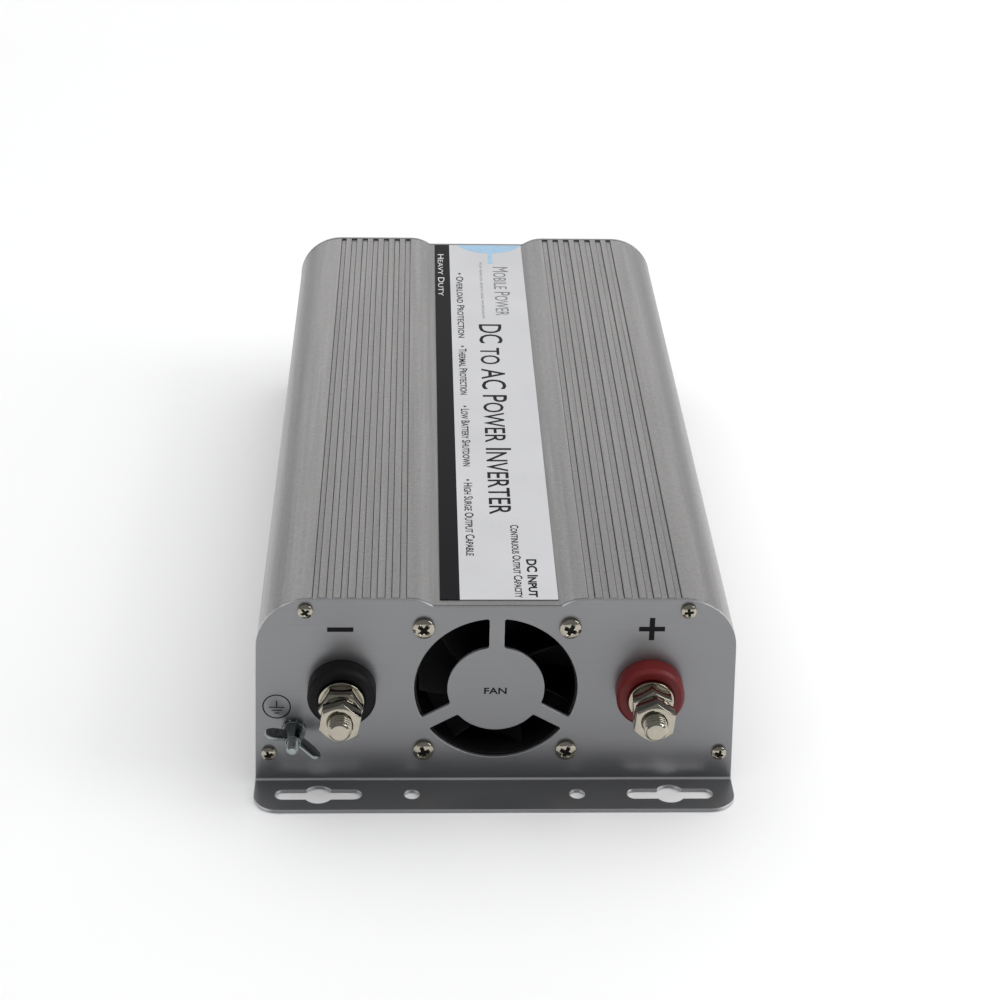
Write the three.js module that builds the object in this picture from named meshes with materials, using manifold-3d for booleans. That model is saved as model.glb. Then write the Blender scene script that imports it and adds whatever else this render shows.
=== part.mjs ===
// Power inverter: a grooved aluminium case with a folded end plate at each end, a fan and two cable
// studs at the DC end, and outlets, a rocker switch and a remote socket at the AC end.
// Millimetres, +Z up. The origin is on the underside at the middle of the base plate.
// The DC end faces -Y and the AC end faces +Y. Threads are plain cylinders.
import * as THREE from "three";
import { mergeVertices } from "three/addons/utils/BufferGeometryUtils.js";
import Module from "manifold-3d";

const wasm = await Module();
wasm.setup();

// ---------------------------------------------------------------- driving dimensions
const LENGTH = 400; // from one end plate's outer face to the other's
const HEIGHT = 90; // top of the end plates
const HALF_BASE = 101.2; // half the width where the sides meet the base
const SHOULDER_R = 23;
const SHOULDER_X = 76; // the shoulder arc starts here and turns down
const VALLEY_HALF = 26; // half the width of the sunk strip along the top
const VALLEY_DROP = 3.5;
const PLATEAU_IN = 36.8; // the flat top ends here and rolls down into the valley
const SHEET = 1.6; // end plate thickness
const FLANGE = 21.8; // how far the mounting flange stands out
const BEND = 1.2; // inside radius of the fold
const GAP = 0.2; // between pieces that touch
const END_GAP = 0.4; // between the case and each end plate
const WALL = 2.6;
const SKIN_INSET = 0.1; // the case skin is all but flush with the end plates' edge
const GROOVE_COUNT = 7; // along each side of the flat top
const GROOVE_WIDE = 3;
const GROOVE_DEEP = 0.8;
const BASE_THICK = 2.4;
const PORT_SCREWS = [
  [-78.2, 85.2],
  [78.2, 85.2],
  [-95, 15.5],
  [95, 15.5],
]; // the four screws that hold an end plate, x and z
const FAN_Z = 47;
const FAN_SIDE = 70;
const FAN_DEEP = 25;
const FAN_HOLES = 30; // half the spacing of the fan's screws
const GRILLE_OUT = 34;
const GRILLE_IN = 20.2;
const SPOKE = 6.2;
const STUD_X = 63.8;
const STUD_Z = 47.5;
const STUD_R = 4.9;
const STUD_OUT = 33.2; // the stud's end, measured out from the plate
const INSULATOR_R = 14.15;
const INSULATOR_OUT = 9;
const NUT_FLATS = 16;
const NUT_THICK = 7.3;
const EARTH_X = -84.1;
const EARTH_Z = 27.5;
const EARTH_R = 2.4;
const EARTH_OUT = 17;
const SWITCH_X = 70;
const SWITCH_Z = 58;
const ROCKER_TILT = THREE.MathUtils.degToRad(10);
const OUTLETS_X = [-72, -38, -4];
const OUTLET_Z = 51;
const JACK_X = 70;
const JACK_Z = 27;
const LED_X = 44;
const LEDS_Z = [67, 53];

// ---------------------------------------------------------------- materials
const metal = (color, roughness) => new THREE.MeshStandardMaterial({ color, roughness, metalness: 1 });
const plastic = (color, roughness) => new THREE.MeshStandardMaterial({ color, roughness, metalness: 0 });
const CASE_FINISH = metal(0x8e8c8a, 0.45);
const PLATE_FINISH = metal(0x85878b, 0.4);
const NICKEL = metal(0xc9c6ba, 0.18);
const ZINC = metal(0x9fa6a8, 0.3);
const COPPER = metal(0xb87333, 0.35);
const BLACK = plastic(0x121212, 0.45);
const RED = plastic(0x8f1a1a, 0.4);
const LABEL = plastic(0xd8d9d8, 0.5);
const BOARD = plastic(0x1f5a33, 0.5);
const FERRITE = plastic(0x3a3a3c, 0.7);
const SLEEVE = plastic(0x1c2f5c, 0.35);
const GREEN_LENS = plastic(0x2fbf4a, 0.2);
const RED_LENS = plastic(0xd02a2a, 0.2);

// ---------------------------------------------------------------- making solids
// A closed three.js geometry as a manifold-3d solid.
function solid(geometry) {
  const bare = geometry.index ? geometry.toNonIndexed() : geometry.clone();
  bare.deleteAttribute("normal");
  bare.deleteAttribute("uv");
  const merged = mergeVertices(bare, 1e-4);
  return new wasm.Manifold(
    new wasm.Mesh({
      numProp: 3,
      vertProperties: merged.attributes.position.array,
      triVerts: new Uint32Array(merged.index.array),
    }),
  );
}

// A manifold-3d solid as a three.js geometry.
function geometryOf(made) {
  const mesh = made.getMesh();
  const geometry = new THREE.BufferGeometry();
  geometry.setAttribute("position", new THREE.BufferAttribute(Float32Array.from(mesh.vertProperties), 3));
  geometry.setIndex(new THREE.BufferAttribute(Uint32Array.from(mesh.triVerts), 1));
  return geometry;
}

const joined = (...geometries) => geometries.map(solid).reduce((a, b) => a.add(b));
const cut = (body, ...tools) => tools.map(solid).reduce((a, b) => a.subtract(b), body);

// Extrusions of a flat shape: its two coordinates are x z, y z or x y of the part.
const extruded = (shape, depth, curveSegments) =>
  new THREE.ExtrudeGeometry(shape, { depth, bevelEnabled: false, curveSegments });
const alongY = (shape, from, to, curveSegments = 8) =>
  extruded(shape, to - from, curveSegments)
    .rotateX(Math.PI / 2)
    .translate(0, to, 0);
const alongX = (shape, from, to, curveSegments = 8) =>
  extruded(shape, to - from, curveSegments)
    .applyMatrix4(
      new THREE.Matrix4().makeBasis(
        new THREE.Vector3(0, 1, 0),
        new THREE.Vector3(0, 0, 1),
        new THREE.Vector3(1, 0, 0),
      ),
    )
    .translate(from, 0, 0);
const alongZ = (shape, from, to, curveSegments = 8) =>
  extruded(shape, to - from, curveSegments).translate(0, 0, from);

function polygon(points) {
  return new THREE.Shape(points.map(([a, b]) => new THREE.Vector2(a, b)));
}

function box(x0, x1, y0, y1, z0, z1) {
  return new THREE.BoxGeometry(x1 - x0, y1 - y0, z1 - z0).translate(
    (x0 + x1) / 2,
    (y0 + y1) / 2,
    (z0 + z1) / 2,
  );
}

// A rectangle with round corners, centred on a point.
function roundedRectangle(centreA, centreB, width, height, radius) {
  const a = width / 2 - radius;
  const b = height / 2 - radius;
  const shape = new THREE.Shape();
  shape.absarc(centreA + a, centreB - b, radius, -Math.PI / 2, 0);
  shape.absarc(centreA + a, centreB + b, radius, 0, Math.PI / 2);
  shape.absarc(centreA - a, centreB + b, radius, Math.PI / 2, Math.PI);
  shape.absarc(centreA - a, centreB - b, radius, Math.PI, 1.5 * Math.PI);
  return shape;
}

// A solid of revolution about the Y axis from [radius, y] points that run anticlockwise.
function turned(points, segments = 24) {
  const profile = points.map(([radius, y]) => new THREE.Vector2(radius, y));
  const closed = points[0][0] > 0 || points[points.length - 1][0] > 0;
  if (closed) profile.push(profile[0].clone());
  return new THREE.LatheGeometry(profile, segments);
}

// A round rod or hole along Y.
const rod = (radius, from, to, x = 0, z = 0, segments = 24) =>
  new THREE.CylinderGeometry(radius, radius, to - from, segments).translate(x, (from + to) / 2, z);

// A round rod or hole along Z.
const post = (radius, from, to, x = 0, y = 0, segments = 24) =>
  new THREE.CylinderGeometry(radius, radius, to - from, segments)
    .rotateX(Math.PI / 2)
    .translate(x, y, (from + to) / 2);

// A named piece: every piece of the object is one of these.
function piece(group, name, shape, material) {
  const geometry = shape.isBufferGeometry ? shape : geometryOf(shape);
  const mesh = new THREE.Mesh(geometry, material);
  mesh.name = name;
  group.add(mesh);
  return mesh;
}

// ---------------------------------------------------------------- the case's outline
// Half of the outline across the case, from the base up and in to the middle, as x z points.
// It is drawn a given distance inside the end plates' edge, with the flat top's grooves if asked.
function halfOutline(inset, base, withGrooves) {
  const shoulderZ = HEIGHT - SHOULDER_R;
  const reach = Math.hypot(HALF_BASE - SHOULDER_X, shoulderZ);
  const lean = Math.acos(SHOULDER_R / reach) - Math.atan2(shoulderZ, HALF_BASE - SHOULDER_X);
  const radius = SHOULDER_R - inset;
  const top = HEIGHT - inset;
  const sideX = HALF_BASE - inset / Math.cos(lean) - base * Math.tan(lean);
  const points = [[sideX, base]];
  const steps = 10;
  for (let i = 0; i <= steps; i++) {
    const angle = lean + ((Math.PI / 2 - lean) * i) / steps;
    points.push([SHOULDER_X + radius * Math.cos(angle), shoulderZ + radius * Math.sin(angle)]);
  }
  for (let i = 0; withGrooves && i < GROOVE_COUNT; i++) {
    const x = SHOULDER_X - 2 * GROOVE_WIDE * i;
    if (i > 0) points.push([x, top]);
    points.push([x, top - GROOVE_DEEP], [x - GROOVE_WIDE, top - GROOVE_DEEP], [x - GROOVE_WIDE, top]);
  }
  // the roll down into the valley, an arc that starts level
  const run = PLATEAU_IN - VALLEY_HALF;
  const rollR = (run * run + VALLEY_DROP * VALLEY_DROP) / (2 * VALLEY_DROP);
  const sweep = Math.asin(run / rollR);
  for (let i = 0; i <= 5; i++) {
    const angle = (sweep * i) / 5;
    points.push([PLATEAU_IN - rollR * Math.sin(angle), top - rollR * (1 - Math.cos(angle))]);
  }
  return points;
}

function fullOutline(inset, base, withGrooves = false) {
  const right = halfOutline(inset, base, withGrooves);
  const left = right.map(([x, z]) => [-x, z]).reverse();
  return polygon([...right, ...left]);
}

// ---------------------------------------------------------------- case and base plate
const LIP_IN = 92.6; // the case's bottom lips reach in to here
const CASE_HALF = LENGTH / 2 - SHEET - END_GAP; // half the case extrusion's length

function caseShell() {
  const outer = solid(alongY(fullOutline(SKIN_INSET, GAP, true), -CASE_HALF, CASE_HALF));
  const inner = solid(alongY(fullOutline(SKIN_INSET + WALL, -5), -CASE_HALF - 1, CASE_HALF + 1));
  let shell = outer.subtract(inner);
  const wallX = HALF_BASE - SKIN_INSET - 1.2;
  for (const side of [-1, 1]) {
    const [low, high] = [side * LIP_IN, side * wallX].sort((a, b) => a - b);
    shell = shell.add(solid(box(low, high, -CASE_HALF, CASE_HALF, GAP, 1.2)));
    shell = shell.add(solid(box(low, high, -CASE_HALF, CASE_HALF, BASE_THICK + GAP, 4.4)));
  }
  const inside = solid(alongY(fullOutline(SKIN_INSET + 0.5, GAP), -CASE_HALF, CASE_HALF));
  for (const [x, z] of PORT_SCREWS) {
    shell = shell.add(solid(rod(3.6, -CASE_HALF, CASE_HALF, x, z, 16)).intersect(inside));
    shell = shell.subtract(solid(rod(1.75, -CASE_HALF - 1, CASE_HALF + 1, x, z, 12)));
  }
  return shell;
}

function basePlate() {
  const half = CASE_HALF - GAP;
  const tongue = HALF_BASE - SKIN_INSET - WALL - 0.5;
  let plate = solid(box(-LIP_IN + 0.4, LIP_IN - 0.4, -half, half, 0, BASE_THICK));
  plate = plate.add(solid(box(-tongue, tongue, -half, half, 1.4, BASE_THICK)));
  for (const x of [-76, 76])
    for (const y of [-150, 0, 140]) plate = plate.add(solid(post(3, 2, 9.8, x, y, 12)));
  return plate;
}

// ---------------------------------------------------------------- end plates
// Each end is drawn in its own frame: y = 0 is the plate's outer face, -y points outwards, and x runs
// to the right as seen from outside.
const KEYHOLE_X = 74;
const KEYHOLE_LONG = 36.4;
const KEYHOLE_WIDE = 6.8;
const KEYHOLE_EYE_R = 6.2;
const FLANGE_HOLE_X = 34.8;
const FLANGE_HOLE_R = 3.25;

// Sheet folded to an L, cut to the case's outline above and to round corners on the flange.
function foldedSheet() {
  const profile = new THREE.Shape();
  profile.moveTo(SHEET, HEIGHT + 1);
  profile.lineTo(0, HEIGHT + 1);
  profile.lineTo(0, SHEET + BEND);
  profile.absarc(-BEND, SHEET + BEND, BEND, 0, -Math.PI / 2, true);
  profile.lineTo(-FLANGE, SHEET);
  profile.lineTo(-FLANGE, 0);
  profile.lineTo(-BEND, 0);
  profile.absarc(-BEND, SHEET + BEND, BEND + SHEET, -Math.PI / 2, 0);
  profile.closePath();
  const sheet = solid(alongX(profile, -HALF_BASE - 5, HALF_BASE + 5, 5));
  const outline = solid(alongY(fullOutline(0, -1), -FLANGE - 1, SHEET + 1));
  const corner = 11;
  const plan = new THREE.Shape();
  plan.moveTo(HALF_BASE, SHEET + 1);
  plan.lineTo(-HALF_BASE, SHEET + 1);
  plan.absarc(-HALF_BASE + corner, -FLANGE + corner, corner, Math.PI, 1.5 * Math.PI);
  plan.absarc(HALF_BASE - corner, -FLANGE + corner, corner, 1.5 * Math.PI, 2 * Math.PI);
  return sheet.intersect(outline).intersect(solid(alongZ(plan, -1, HEIGHT + 2)));
}

function flangeTools() {
  const tools = [];
  const y = -FLANGE / 2;
  for (const side of [-1, 1]) {
    const slot = roundedRectangle(side * KEYHOLE_X, y, KEYHOLE_LONG, KEYHOLE_WIDE, KEYHOLE_WIDE / 2);
    tools.push(alongZ(slot, -1, SHEET + 1, 5));
    tools.push(post(KEYHOLE_EYE_R, -1, SHEET + 1, side * KEYHOLE_X, y, 20));
    tools.push(post(FLANGE_HOLE_R, -1, SHEET + 1, side * FLANGE_HOLE_X, y, 20));
  }
  return tools;
}

const portScrewHoles = () => PORT_SCREWS.map(([x, z]) => rod(1.8, -1, SHEET + 1, x, z, 12));

// One of the fan opening's three windows: a stretch of ring between two spokes.
function grilleWindow(middle) {
  const half = Math.PI / 3;
  const outer = half - Math.asin(SPOKE / 2 / GRILLE_OUT);
  const inner = half - Math.asin(SPOKE / 2 / GRILLE_IN);
  const shape = new THREE.Shape();
  shape.absarc(0, FAN_Z, GRILLE_OUT, middle - outer, middle + outer);
  shape.absarc(0, FAN_Z, GRILLE_IN, middle + inner, middle - inner, true);
  return alongY(shape, -1, SHEET + 1, 16);
}

function dcEndPlate() {
  const fanScrews = [];
  for (const x of [-FAN_HOLES, FAN_HOLES])
    for (const z of [-FAN_HOLES, FAN_HOLES]) fanScrews.push(rod(2.2, -1, SHEET + 1, x, FAN_Z + z, 16));
  return cut(
    foldedSheet(),
    ...flangeTools(),
    ...portScrewHoles(),
    ...fanScrews,
    ...[Math.PI / 6, (5 * Math.PI) / 6, -Math.PI / 2].map(grilleWindow),
    rod(8.2, -1, SHEET + 1, -STUD_X, STUD_Z),
    rod(8.2, -1, SHEET + 1, STUD_X, STUD_Z),
    rod(2.7, -1, SHEET + 1, EARTH_X, EARTH_Z, 16),
  );
}

const VENT_COUNT = 15;
const VENT_PITCH = 8;
const VENT_WIDE = 3.2;
const VENT_Z = 19;
const VENTS_FROM = -80;

function acEndPlate() {
  const vents = [];
  for (let i = 0; i < VENT_COUNT; i++) {
    const x = VENTS_FROM + i * VENT_PITCH;
    vents.push(alongY(roundedRectangle(x, VENT_Z, VENT_WIDE, 15, VENT_WIDE / 2), -1, SHEET + 1, 2));
  }
  return cut(
    foldedSheet(),
    ...flangeTools(),
    ...portScrewHoles(),
    ...vents,
    ...OUTLETS_X.map((x) => alongY(roundedRectangle(x, OUTLET_Z, 25.4, 31.4, 3), -1, SHEET + 1, 3)),
    alongY(roundedRectangle(SWITCH_X, SWITCH_Z, 17.4, 22.4, 0.3), -1, SHEET + 1, 1),
    alongY(roundedRectangle(JACK_X, JACK_Z, 15.4, 13.4, 0.3), -1, SHEET + 1, 1),
    ...LEDS_Z.map((z) => rod(2.7, -1, SHEET + 1, LED_X, z, 16)),
  );
}

// ---------------------------------------------------------------- fasteners
// A pan-head screw with its head outwards (-y) and its shank going in.
function panHeadScrew(headR, headOut, shankR, shankIn) {
  const under = -0.1;
  return turned(
    [
      [0, shankIn],
      [0, under - headOut],
      [headR * 0.6, under - headOut * 0.9],
      [headR, under - headOut * 0.3],
      [headR, under],
      [shankR, under],
      [shankR, shankIn],
    ],
    16,
  );
}

function ring(inner, outer, from, to, segments = 28) {
  return turned(
    [
      [inner, from],
      [outer, from],
      [outer, to],
      [inner, to],
    ],
    segments,
  );
}

// A hexagon nut about Y with a chamfer on both faces.
function hexNut(flats, from, to, boreR, turn) {
  const hexagon = new THREE.CylinderGeometry(flats / Math.sqrt(3), flats / Math.sqrt(3), to - from, 6)
    .rotateY(turn)
    .translate(0, (from + to) / 2, 0);
  const rim = flats / 2;
  const corner = flats / Math.sqrt(3) + 0.05;
  const drop = (corner - rim) * Math.tan(Math.PI / 6);
  const rounding = turned(
    [
      [0, from],
      [rim, from],
      [corner, from + drop],
      [corner, to - drop],
      [rim, to],
      [0, to],
    ],
    24,
  );
  return solid(hexagon)
    .intersect(solid(rounding))
    .subtract(solid(rod(boreR, from - 1, to + 1)));
}

// ---------------------------------------------------------------- cable studs
// A stud's stack outwards from the plate: insulator, washer, clamp nut, lock washer, cable nut.
const WASHER_THICK = 1.7;
const LOCK_THICK = 1.6;
const WASHER_AT = -INSULATOR_OUT - 0.1;
const CLAMP_AT = WASHER_AT - WASHER_THICK - 0.1;
const LOCK_AT = CLAMP_AT - NUT_THICK - 0.1;
const CABLE_AT = LOCK_AT - LOCK_THICK - 0.1;
const BUS_AT = 4.6;
const BUS_THICK = 2.4;

function insulator() {
  return turned(
    [
      [5.3, -INSULATOR_OUT],
      [INSULATOR_R - 1.9, -INSULATOR_OUT],
      [INSULATOR_R - 0.6, -INSULATOR_OUT + 0.6],
      [INSULATOR_R, -INSULATOR_OUT + 2],
      [INSULATOR_R, -0.1],
      [7.9, -0.1],
      [7.9, BUS_AT - 0.2],
      [5.3, BUS_AT - 0.2],
    ],
    32,
  );
}

function stud() {
  const headFrom = BUS_AT + BUS_THICK + GAP;
  const shank = turned(
    [
      [0, headFrom + 1],
      [0, -STUD_OUT],
      [STUD_R - 1.4, -STUD_OUT],
      [STUD_R, -STUD_OUT + 1.4],
      [STUD_R, headFrom + 1],
    ],
    24,
  );
  const head = new THREE.CylinderGeometry(9, 9, 6, 6).translate(0, headFrom + 3, 0);
  return joined(shank, head);
}

function addCableStud(group, sign, side, colour, nutTurns) {
  const [clampTurn, cableTurn] = nutTurns.map(THREE.MathUtils.degToRad);
  const place = new THREE.Group();
  place.position.set(side * STUD_X, 0, STUD_Z);
  group.add(place);
  piece(place, `${sign}_insulator`, insulator(), colour);
  piece(place, `${sign}_stud`, stud(), NICKEL);
  piece(place, `${sign}_flat_washer`, ring(5.25, 9.4, WASHER_AT - WASHER_THICK, WASHER_AT), NICKEL);
  const clampEnd = CLAMP_AT - NUT_THICK;
  piece(place, `${sign}_clamp_nut`, hexNut(NUT_FLATS, clampEnd, CLAMP_AT, 5.25, clampTurn), NICKEL);
  piece(place, `${sign}_lock_washer`, ring(5.25, 7.8, LOCK_AT - LOCK_THICK, LOCK_AT), NICKEL);
  const cableEnd = CABLE_AT - NUT_THICK;
  piece(place, `${sign}_cable_nut`, hexNut(NUT_FLATS, cableEnd, CABLE_AT, 5.25, cableTurn), NICKEL);
  // copper bar from the stud's head down to the board
  const bar = new THREE.Shape();
  bar.moveTo(BUS_AT, 10.5);
  bar.lineTo(BUS_AT + BUS_THICK, 10.5);
  bar.lineTo(BUS_AT + BUS_THICK, -33);
  bar.lineTo(48, -33);
  bar.lineTo(48, -33 - BUS_THICK);
  bar.lineTo(BUS_AT, -33 - BUS_THICK);
  const strip = cut(solid(alongX(bar, -8, 8)), rod(5.3, 0, 12, 0, 0, 16));
  piece(place, `${sign}_bus_bar`, strip, COPPER);
}

// ---------------------------------------------------------------- earth stud and wing nut
const TOOTH_FROM = -1.3;
const EARTH_WASHER = [-2.5, -1.5];
const WING_HUB = [-10.6, -2.7];

function toothWasher() {
  const teeth = 10;
  const star = new THREE.Shape();
  for (let i = 0; i < teeth * 4; i++) {
    const angle = (2 * Math.PI * i) / (teeth * 4);
    const radius = i % 4 < 2 ? 5 : 4.1;
    star[i ? "lineTo" : "moveTo"](radius * Math.cos(angle), radius * Math.sin(angle));
  }
  return cut(solid(alongY(star, TOOTH_FROM, -0.1)), rod(2.65, -3, 1, 0, 0, 16));
}

// A wing nut whose two wings lean out and forward from a conical hub.
function wingNut() {
  const hub = turned(
    [
      [0, WING_HUB[1]],
      [0, WING_HUB[0]],
      [3, WING_HUB[0]],
      [4.7, WING_HUB[1] - 1],
      [4.7, WING_HUB[1]],
    ],
    24,
  );
  const wing = new THREE.Shape();
  wing.moveTo(2.9, -4.4);
  wing.lineTo(9.6, -7.4);
  wing.quadraticCurveTo(13.2, -9.6, 12.6, -12.6);
  wing.quadraticCurveTo(11.2, -15.4, 8.6, -14.2);
  wing.quadraticCurveTo(5.2, -11.6, 2.9, -9.6);
  const blade = (mirror) => {
    const made = extruded(wing, 1.6, 5).translate(0, 0, -0.8);
    if (mirror) made.rotateY(Math.PI);
    return made;
  };
  return cut(joined(hub, blade(false), blade(true)), rod(2.7, -30, 5, 0, 0, 16));
}

function addEarthStud(group) {
  const place = new THREE.Group();
  place.position.set(EARTH_X, 0, EARTH_Z);
  group.add(place);
  const shank = turned(
    [
      [0, 5.2],
      [0, -EARTH_OUT],
      [1.7, -EARTH_OUT],
      [EARTH_R, -EARTH_OUT + 0.8],
      [EARTH_R, SHEET + GAP],
      [4.4, SHEET + GAP],
      [4.4, 5.2],
    ],
    20,
  );
  piece(place, "earth_stud", shank, ZINC);
  piece(place, "earth_tooth_washer", toothWasher(), ZINC);
  piece(place, "earth_flat_washer", ring(2.75, 4.9, ...EARTH_WASHER, 24), ZINC);
  piece(place, "wing_nut", wingNut(), ZINC).rotation.y = THREE.MathUtils.degToRad(29);
}

// ---------------------------------------------------------------- fan
// The fan stands in the DC end's frame, behind the plate.
const FAN_FRONT = SHEET + 0.3;
const DUCT_R = 33.2;
const HUB_R = 15.4;
const BLADE_R = 32.2;
const BLADE_COUNT = 7;

function fanFrame() {
  const back = FAN_FRONT + FAN_DEEP;
  const square = roundedRectangle(0, 0, FAN_SIDE, FAN_SIDE, 5);
  let frame = solid(alongY(square, FAN_FRONT, back, 4));
  frame = frame.subtract(solid(rod(DUCT_R, FAN_FRONT - 1, back + 1, 0, 0, 48)));
  // the middle of each side is scooped away between the two flanges
  const scoop = solid(box(-40, 40, FAN_FRONT + 4, back - 4, -40, 40));
  const duct = solid(rod(34.8, FAN_FRONT, back, 0, 0, 48));
  const corners = [];
  for (const x of [-FAN_HOLES, FAN_HOLES])
    for (const z of [-FAN_HOLES, FAN_HOLES]) corners.push(rod(4.4, FAN_FRONT, back, x, z, 16));
  const kept = corners.map(solid).reduce((a, b) => a.add(b), duct);
  frame = frame.subtract(scoop.subtract(kept));
  const holes = [];
  for (const x of [-FAN_HOLES, FAN_HOLES])
    for (const z of [-FAN_HOLES, FAN_HOLES]) holes.push(rod(2.15, FAN_FRONT - 1, back + 1, x, z, 12));
  return cut(frame, ...holes);
}

// Four struts across the back of the duct, with the motor's disc and bearing tube in their middle.
function fanBridge() {
  const back = FAN_FRONT + FAN_DEEP;
  const struts = [];
  for (let i = 0; i < 4; i++)
    struts.push(box(10, DUCT_R - GAP, back - 3, back, -1.6, 1.6).rotateY(Math.PI / 4 + (i * Math.PI) / 2));
  const disc = rod(HUB_R, back - 3, back, 0, 0, 32);
  const tube = rod(3.4, back - 18, back - 2, 0, 0, 20);
  return cut(joined(disc, tube, ...struts), rod(1.8, back - 19, back - 1, 0, 0, 16));
}

// A hub cup with seven pitched blades, each an arched strip carried out along a radius.
function fanRotor() {
  const front = FAN_FRONT + 1.6;
  const back = FAN_FRONT + FAN_DEEP - 4;
  let rotor = solid(
    turned(
      [
        [0, front],
        [HUB_R - 1.5, front],
        [HUB_R, front + 1.5],
        [HUB_R, back],
        [HUB_R - 1.8, back],
        [HUB_R - 1.8, front + 2],
        [0, front + 2],
      ],
      32,
    ),
  );
  const arch = new THREE.Shape();
  const steps = 4;
  const chord = 22;
  for (const face of [0.7, -0.7])
    for (let i = 0; i <= steps; i++) {
      const t = (face > 0 ? i : steps - i) / steps - 0.5;
      const at = [t * chord, face + 2.6 * (1 - 4 * t * t)];
      arch[face > 0 && i === 0 ? "moveTo" : "lineTo"](at[0], at[1]);
    }
  const room = solid(rod(BLADE_R, front + 0.5, back - 0.2, 0, 0, 48));
  const hubRoom = solid(rod(HUB_R - 0.6, front - 1, back + 1, 0, 0, 32));
  for (let i = 0; i < BLADE_COUNT; i++) {
    const blade = extruded(arch, BLADE_R - HUB_R + 3, 4)
      .rotateZ(THREE.MathUtils.degToRad(42))
      .translate(0, (front + back) / 2, HUB_R - 1.5)
      .rotateY((2 * Math.PI * i) / BLADE_COUNT + 0.3);
    rotor = rotor.add(solid(blade).intersect(room).subtract(hubRoom));
  }
  return rotor;
}

function addFan(group) {
  const place = new THREE.Group();
  place.position.set(0, 0, FAN_Z);
  group.add(place);
  const back = FAN_FRONT + FAN_DEEP;
  piece(place, "fan_frame", fanFrame(), BLACK);
  piece(place, "fan_bridge", fanBridge(), BLACK);
  piece(place, "fan_rotor", fanRotor(), BLACK);
  piece(place, "fan_shaft", rod(1.5, FAN_FRONT + 3.8, back - 2, 0, 0, 16), NICKEL);
  const stator = [];
  for (let i = 0; i < 4; i++)
    stator.push(box(3.8, 12.6, back - 17, back - 6, -3, 3).rotateY((i * Math.PI) / 2));
  const core = joined(ring(3.7, 6.5, back - 17, back - 6, 20), ...stator);
  piece(place, "fan_stator", core, COPPER);
  let number = 1;
  for (const x of [-FAN_HOLES, FAN_HOLES])
    for (const z of [-FAN_HOLES, FAN_HOLES]) {
      const screw = piece(place, `fan_screw_${number++}`, panHeadScrew(4.6, 2.6, 1.9, 16), NICKEL);
      screw.position.set(x, 0, z);
    }
}

// ---------------------------------------------------------------- AC end fittings
function acOutlet() {
  const bezel = alongY(roundedRectangle(0, 0, 29, 35, 4), -2.4, -0.1, 4);
  const body = alongY(roundedRectangle(0, 0, 24.8, 30.8, 2.8), -1, 24, 3);
  return cut(
    joined(bezel, body),
    box(-7.45, -5.25, -4, 14, -0.4, 8.8),
    box(5.25, 7.45, -4, 14, 0.4, 8),
    rod(2.55, -4, 14, 0, -7.7, 16),
  );
}

// The rocker turns about x through its own origin, PIVOT_IN behind the plate's face.
const PIVOT_IN = 1.5;
const ROCKER_R = 9.4;

function switchHousing() {
  const bezel = alongY(roundedRectangle(0, 0, 20, 26, 1.5), -2.2, -0.1, 3);
  const body = box(-8.5, 8.5, -1, 19, -11, 11);
  const pins = new THREE.CylinderGeometry(1.75, 1.75, 15.6, 16).rotateZ(Math.PI / 2);
  return cut(joined(bezel, body), box(-6.7, 6.7, -5, 9, -9.8, 9.8), pins.translate(0, PIVOT_IN, 0));
}

function rocker() {
  const profile = new THREE.Shape();
  const rise = THREE.MathUtils.degToRad(27);
  const fall = THREE.MathUtils.degToRad(-22);
  const tip = [ROCKER_R * Math.cos(rise), -ROCKER_R * Math.sin(rise)];
  profile.moveTo(-2.4, 0);
  profile.lineTo(tip[1], tip[0]);
  // drawn as y z, and outwards is -y, so an end arc runs from -rise to -fall about the pivot
  profile.absarc(0, 0, ROCKER_R, Math.PI / 2 + rise, Math.PI / 2 + fall, true);
  profile.absarc(0, 0, ROCKER_R, -Math.PI / 2 - fall, -Math.PI / 2 - rise, true);
  const blade = alongX(profile, -6.3, 6.3, 4);
  const pins = new THREE.CylinderGeometry(1.5, 1.5, 15, 16).rotateZ(Math.PI / 2);
  return joined(blade, pins);
}

function remoteJack() {
  const body = joined(box(-7.5, 7.5, -0.6, 15, -6.5, 6.5), box(-8.6, 8.6, -1.3, -0.1, -7.6, 7.6));
  return cut(body, box(-5.2, 5.2, -3, 11, -3.8, 3.4));
}

function led() {
  return turned(
    [
      [0, 6],
      [0, -2.4],
      [1.3, -2],
      [2.2, -1.1],
      [2.5, 0],
      [2.5, SHEET + GAP],
      [3, SHEET + GAP],
      [3, 3],
      [2.5, 3],
      [2.5, 6],
    ],
    16,
  );
}

function addAcFittings(group) {
  OUTLETS_X.forEach((x, i) => {
    piece(group, `ac_outlet_${i + 1}`, acOutlet(), BLACK).position.set(x, 0, OUTLET_Z);
  });
  piece(group, "switch_housing", switchHousing(), BLACK).position.set(SWITCH_X, 0, SWITCH_Z);
  const lever = piece(group, "switch_rocker", rocker(), BLACK);
  lever.position.set(SWITCH_X, PIVOT_IN, SWITCH_Z);
  lever.rotation.x = ROCKER_TILT;
  piece(group, "remote_jack", remoteJack(), BLACK).position.set(JACK_X, 0, JACK_Z);
  piece(group, "power_led", led(), GREEN_LENS).position.set(LED_X, 0, LEDS_Z[0]);
  piece(group, "fault_led", led(), RED_LENS).position.set(LED_X, 0, LEDS_Z[1]);
}

// ---------------------------------------------------------------- inside
const BOARD_TOP = 11.6;

function transformer() {
  const core = box(-24, 24, -9, 9, 0, 40);
  const winding = alongZ(roundedRectangle(0, 0, 38, 34, 7), 4, 36, 4);
  return joined(core, winding);
}

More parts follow.
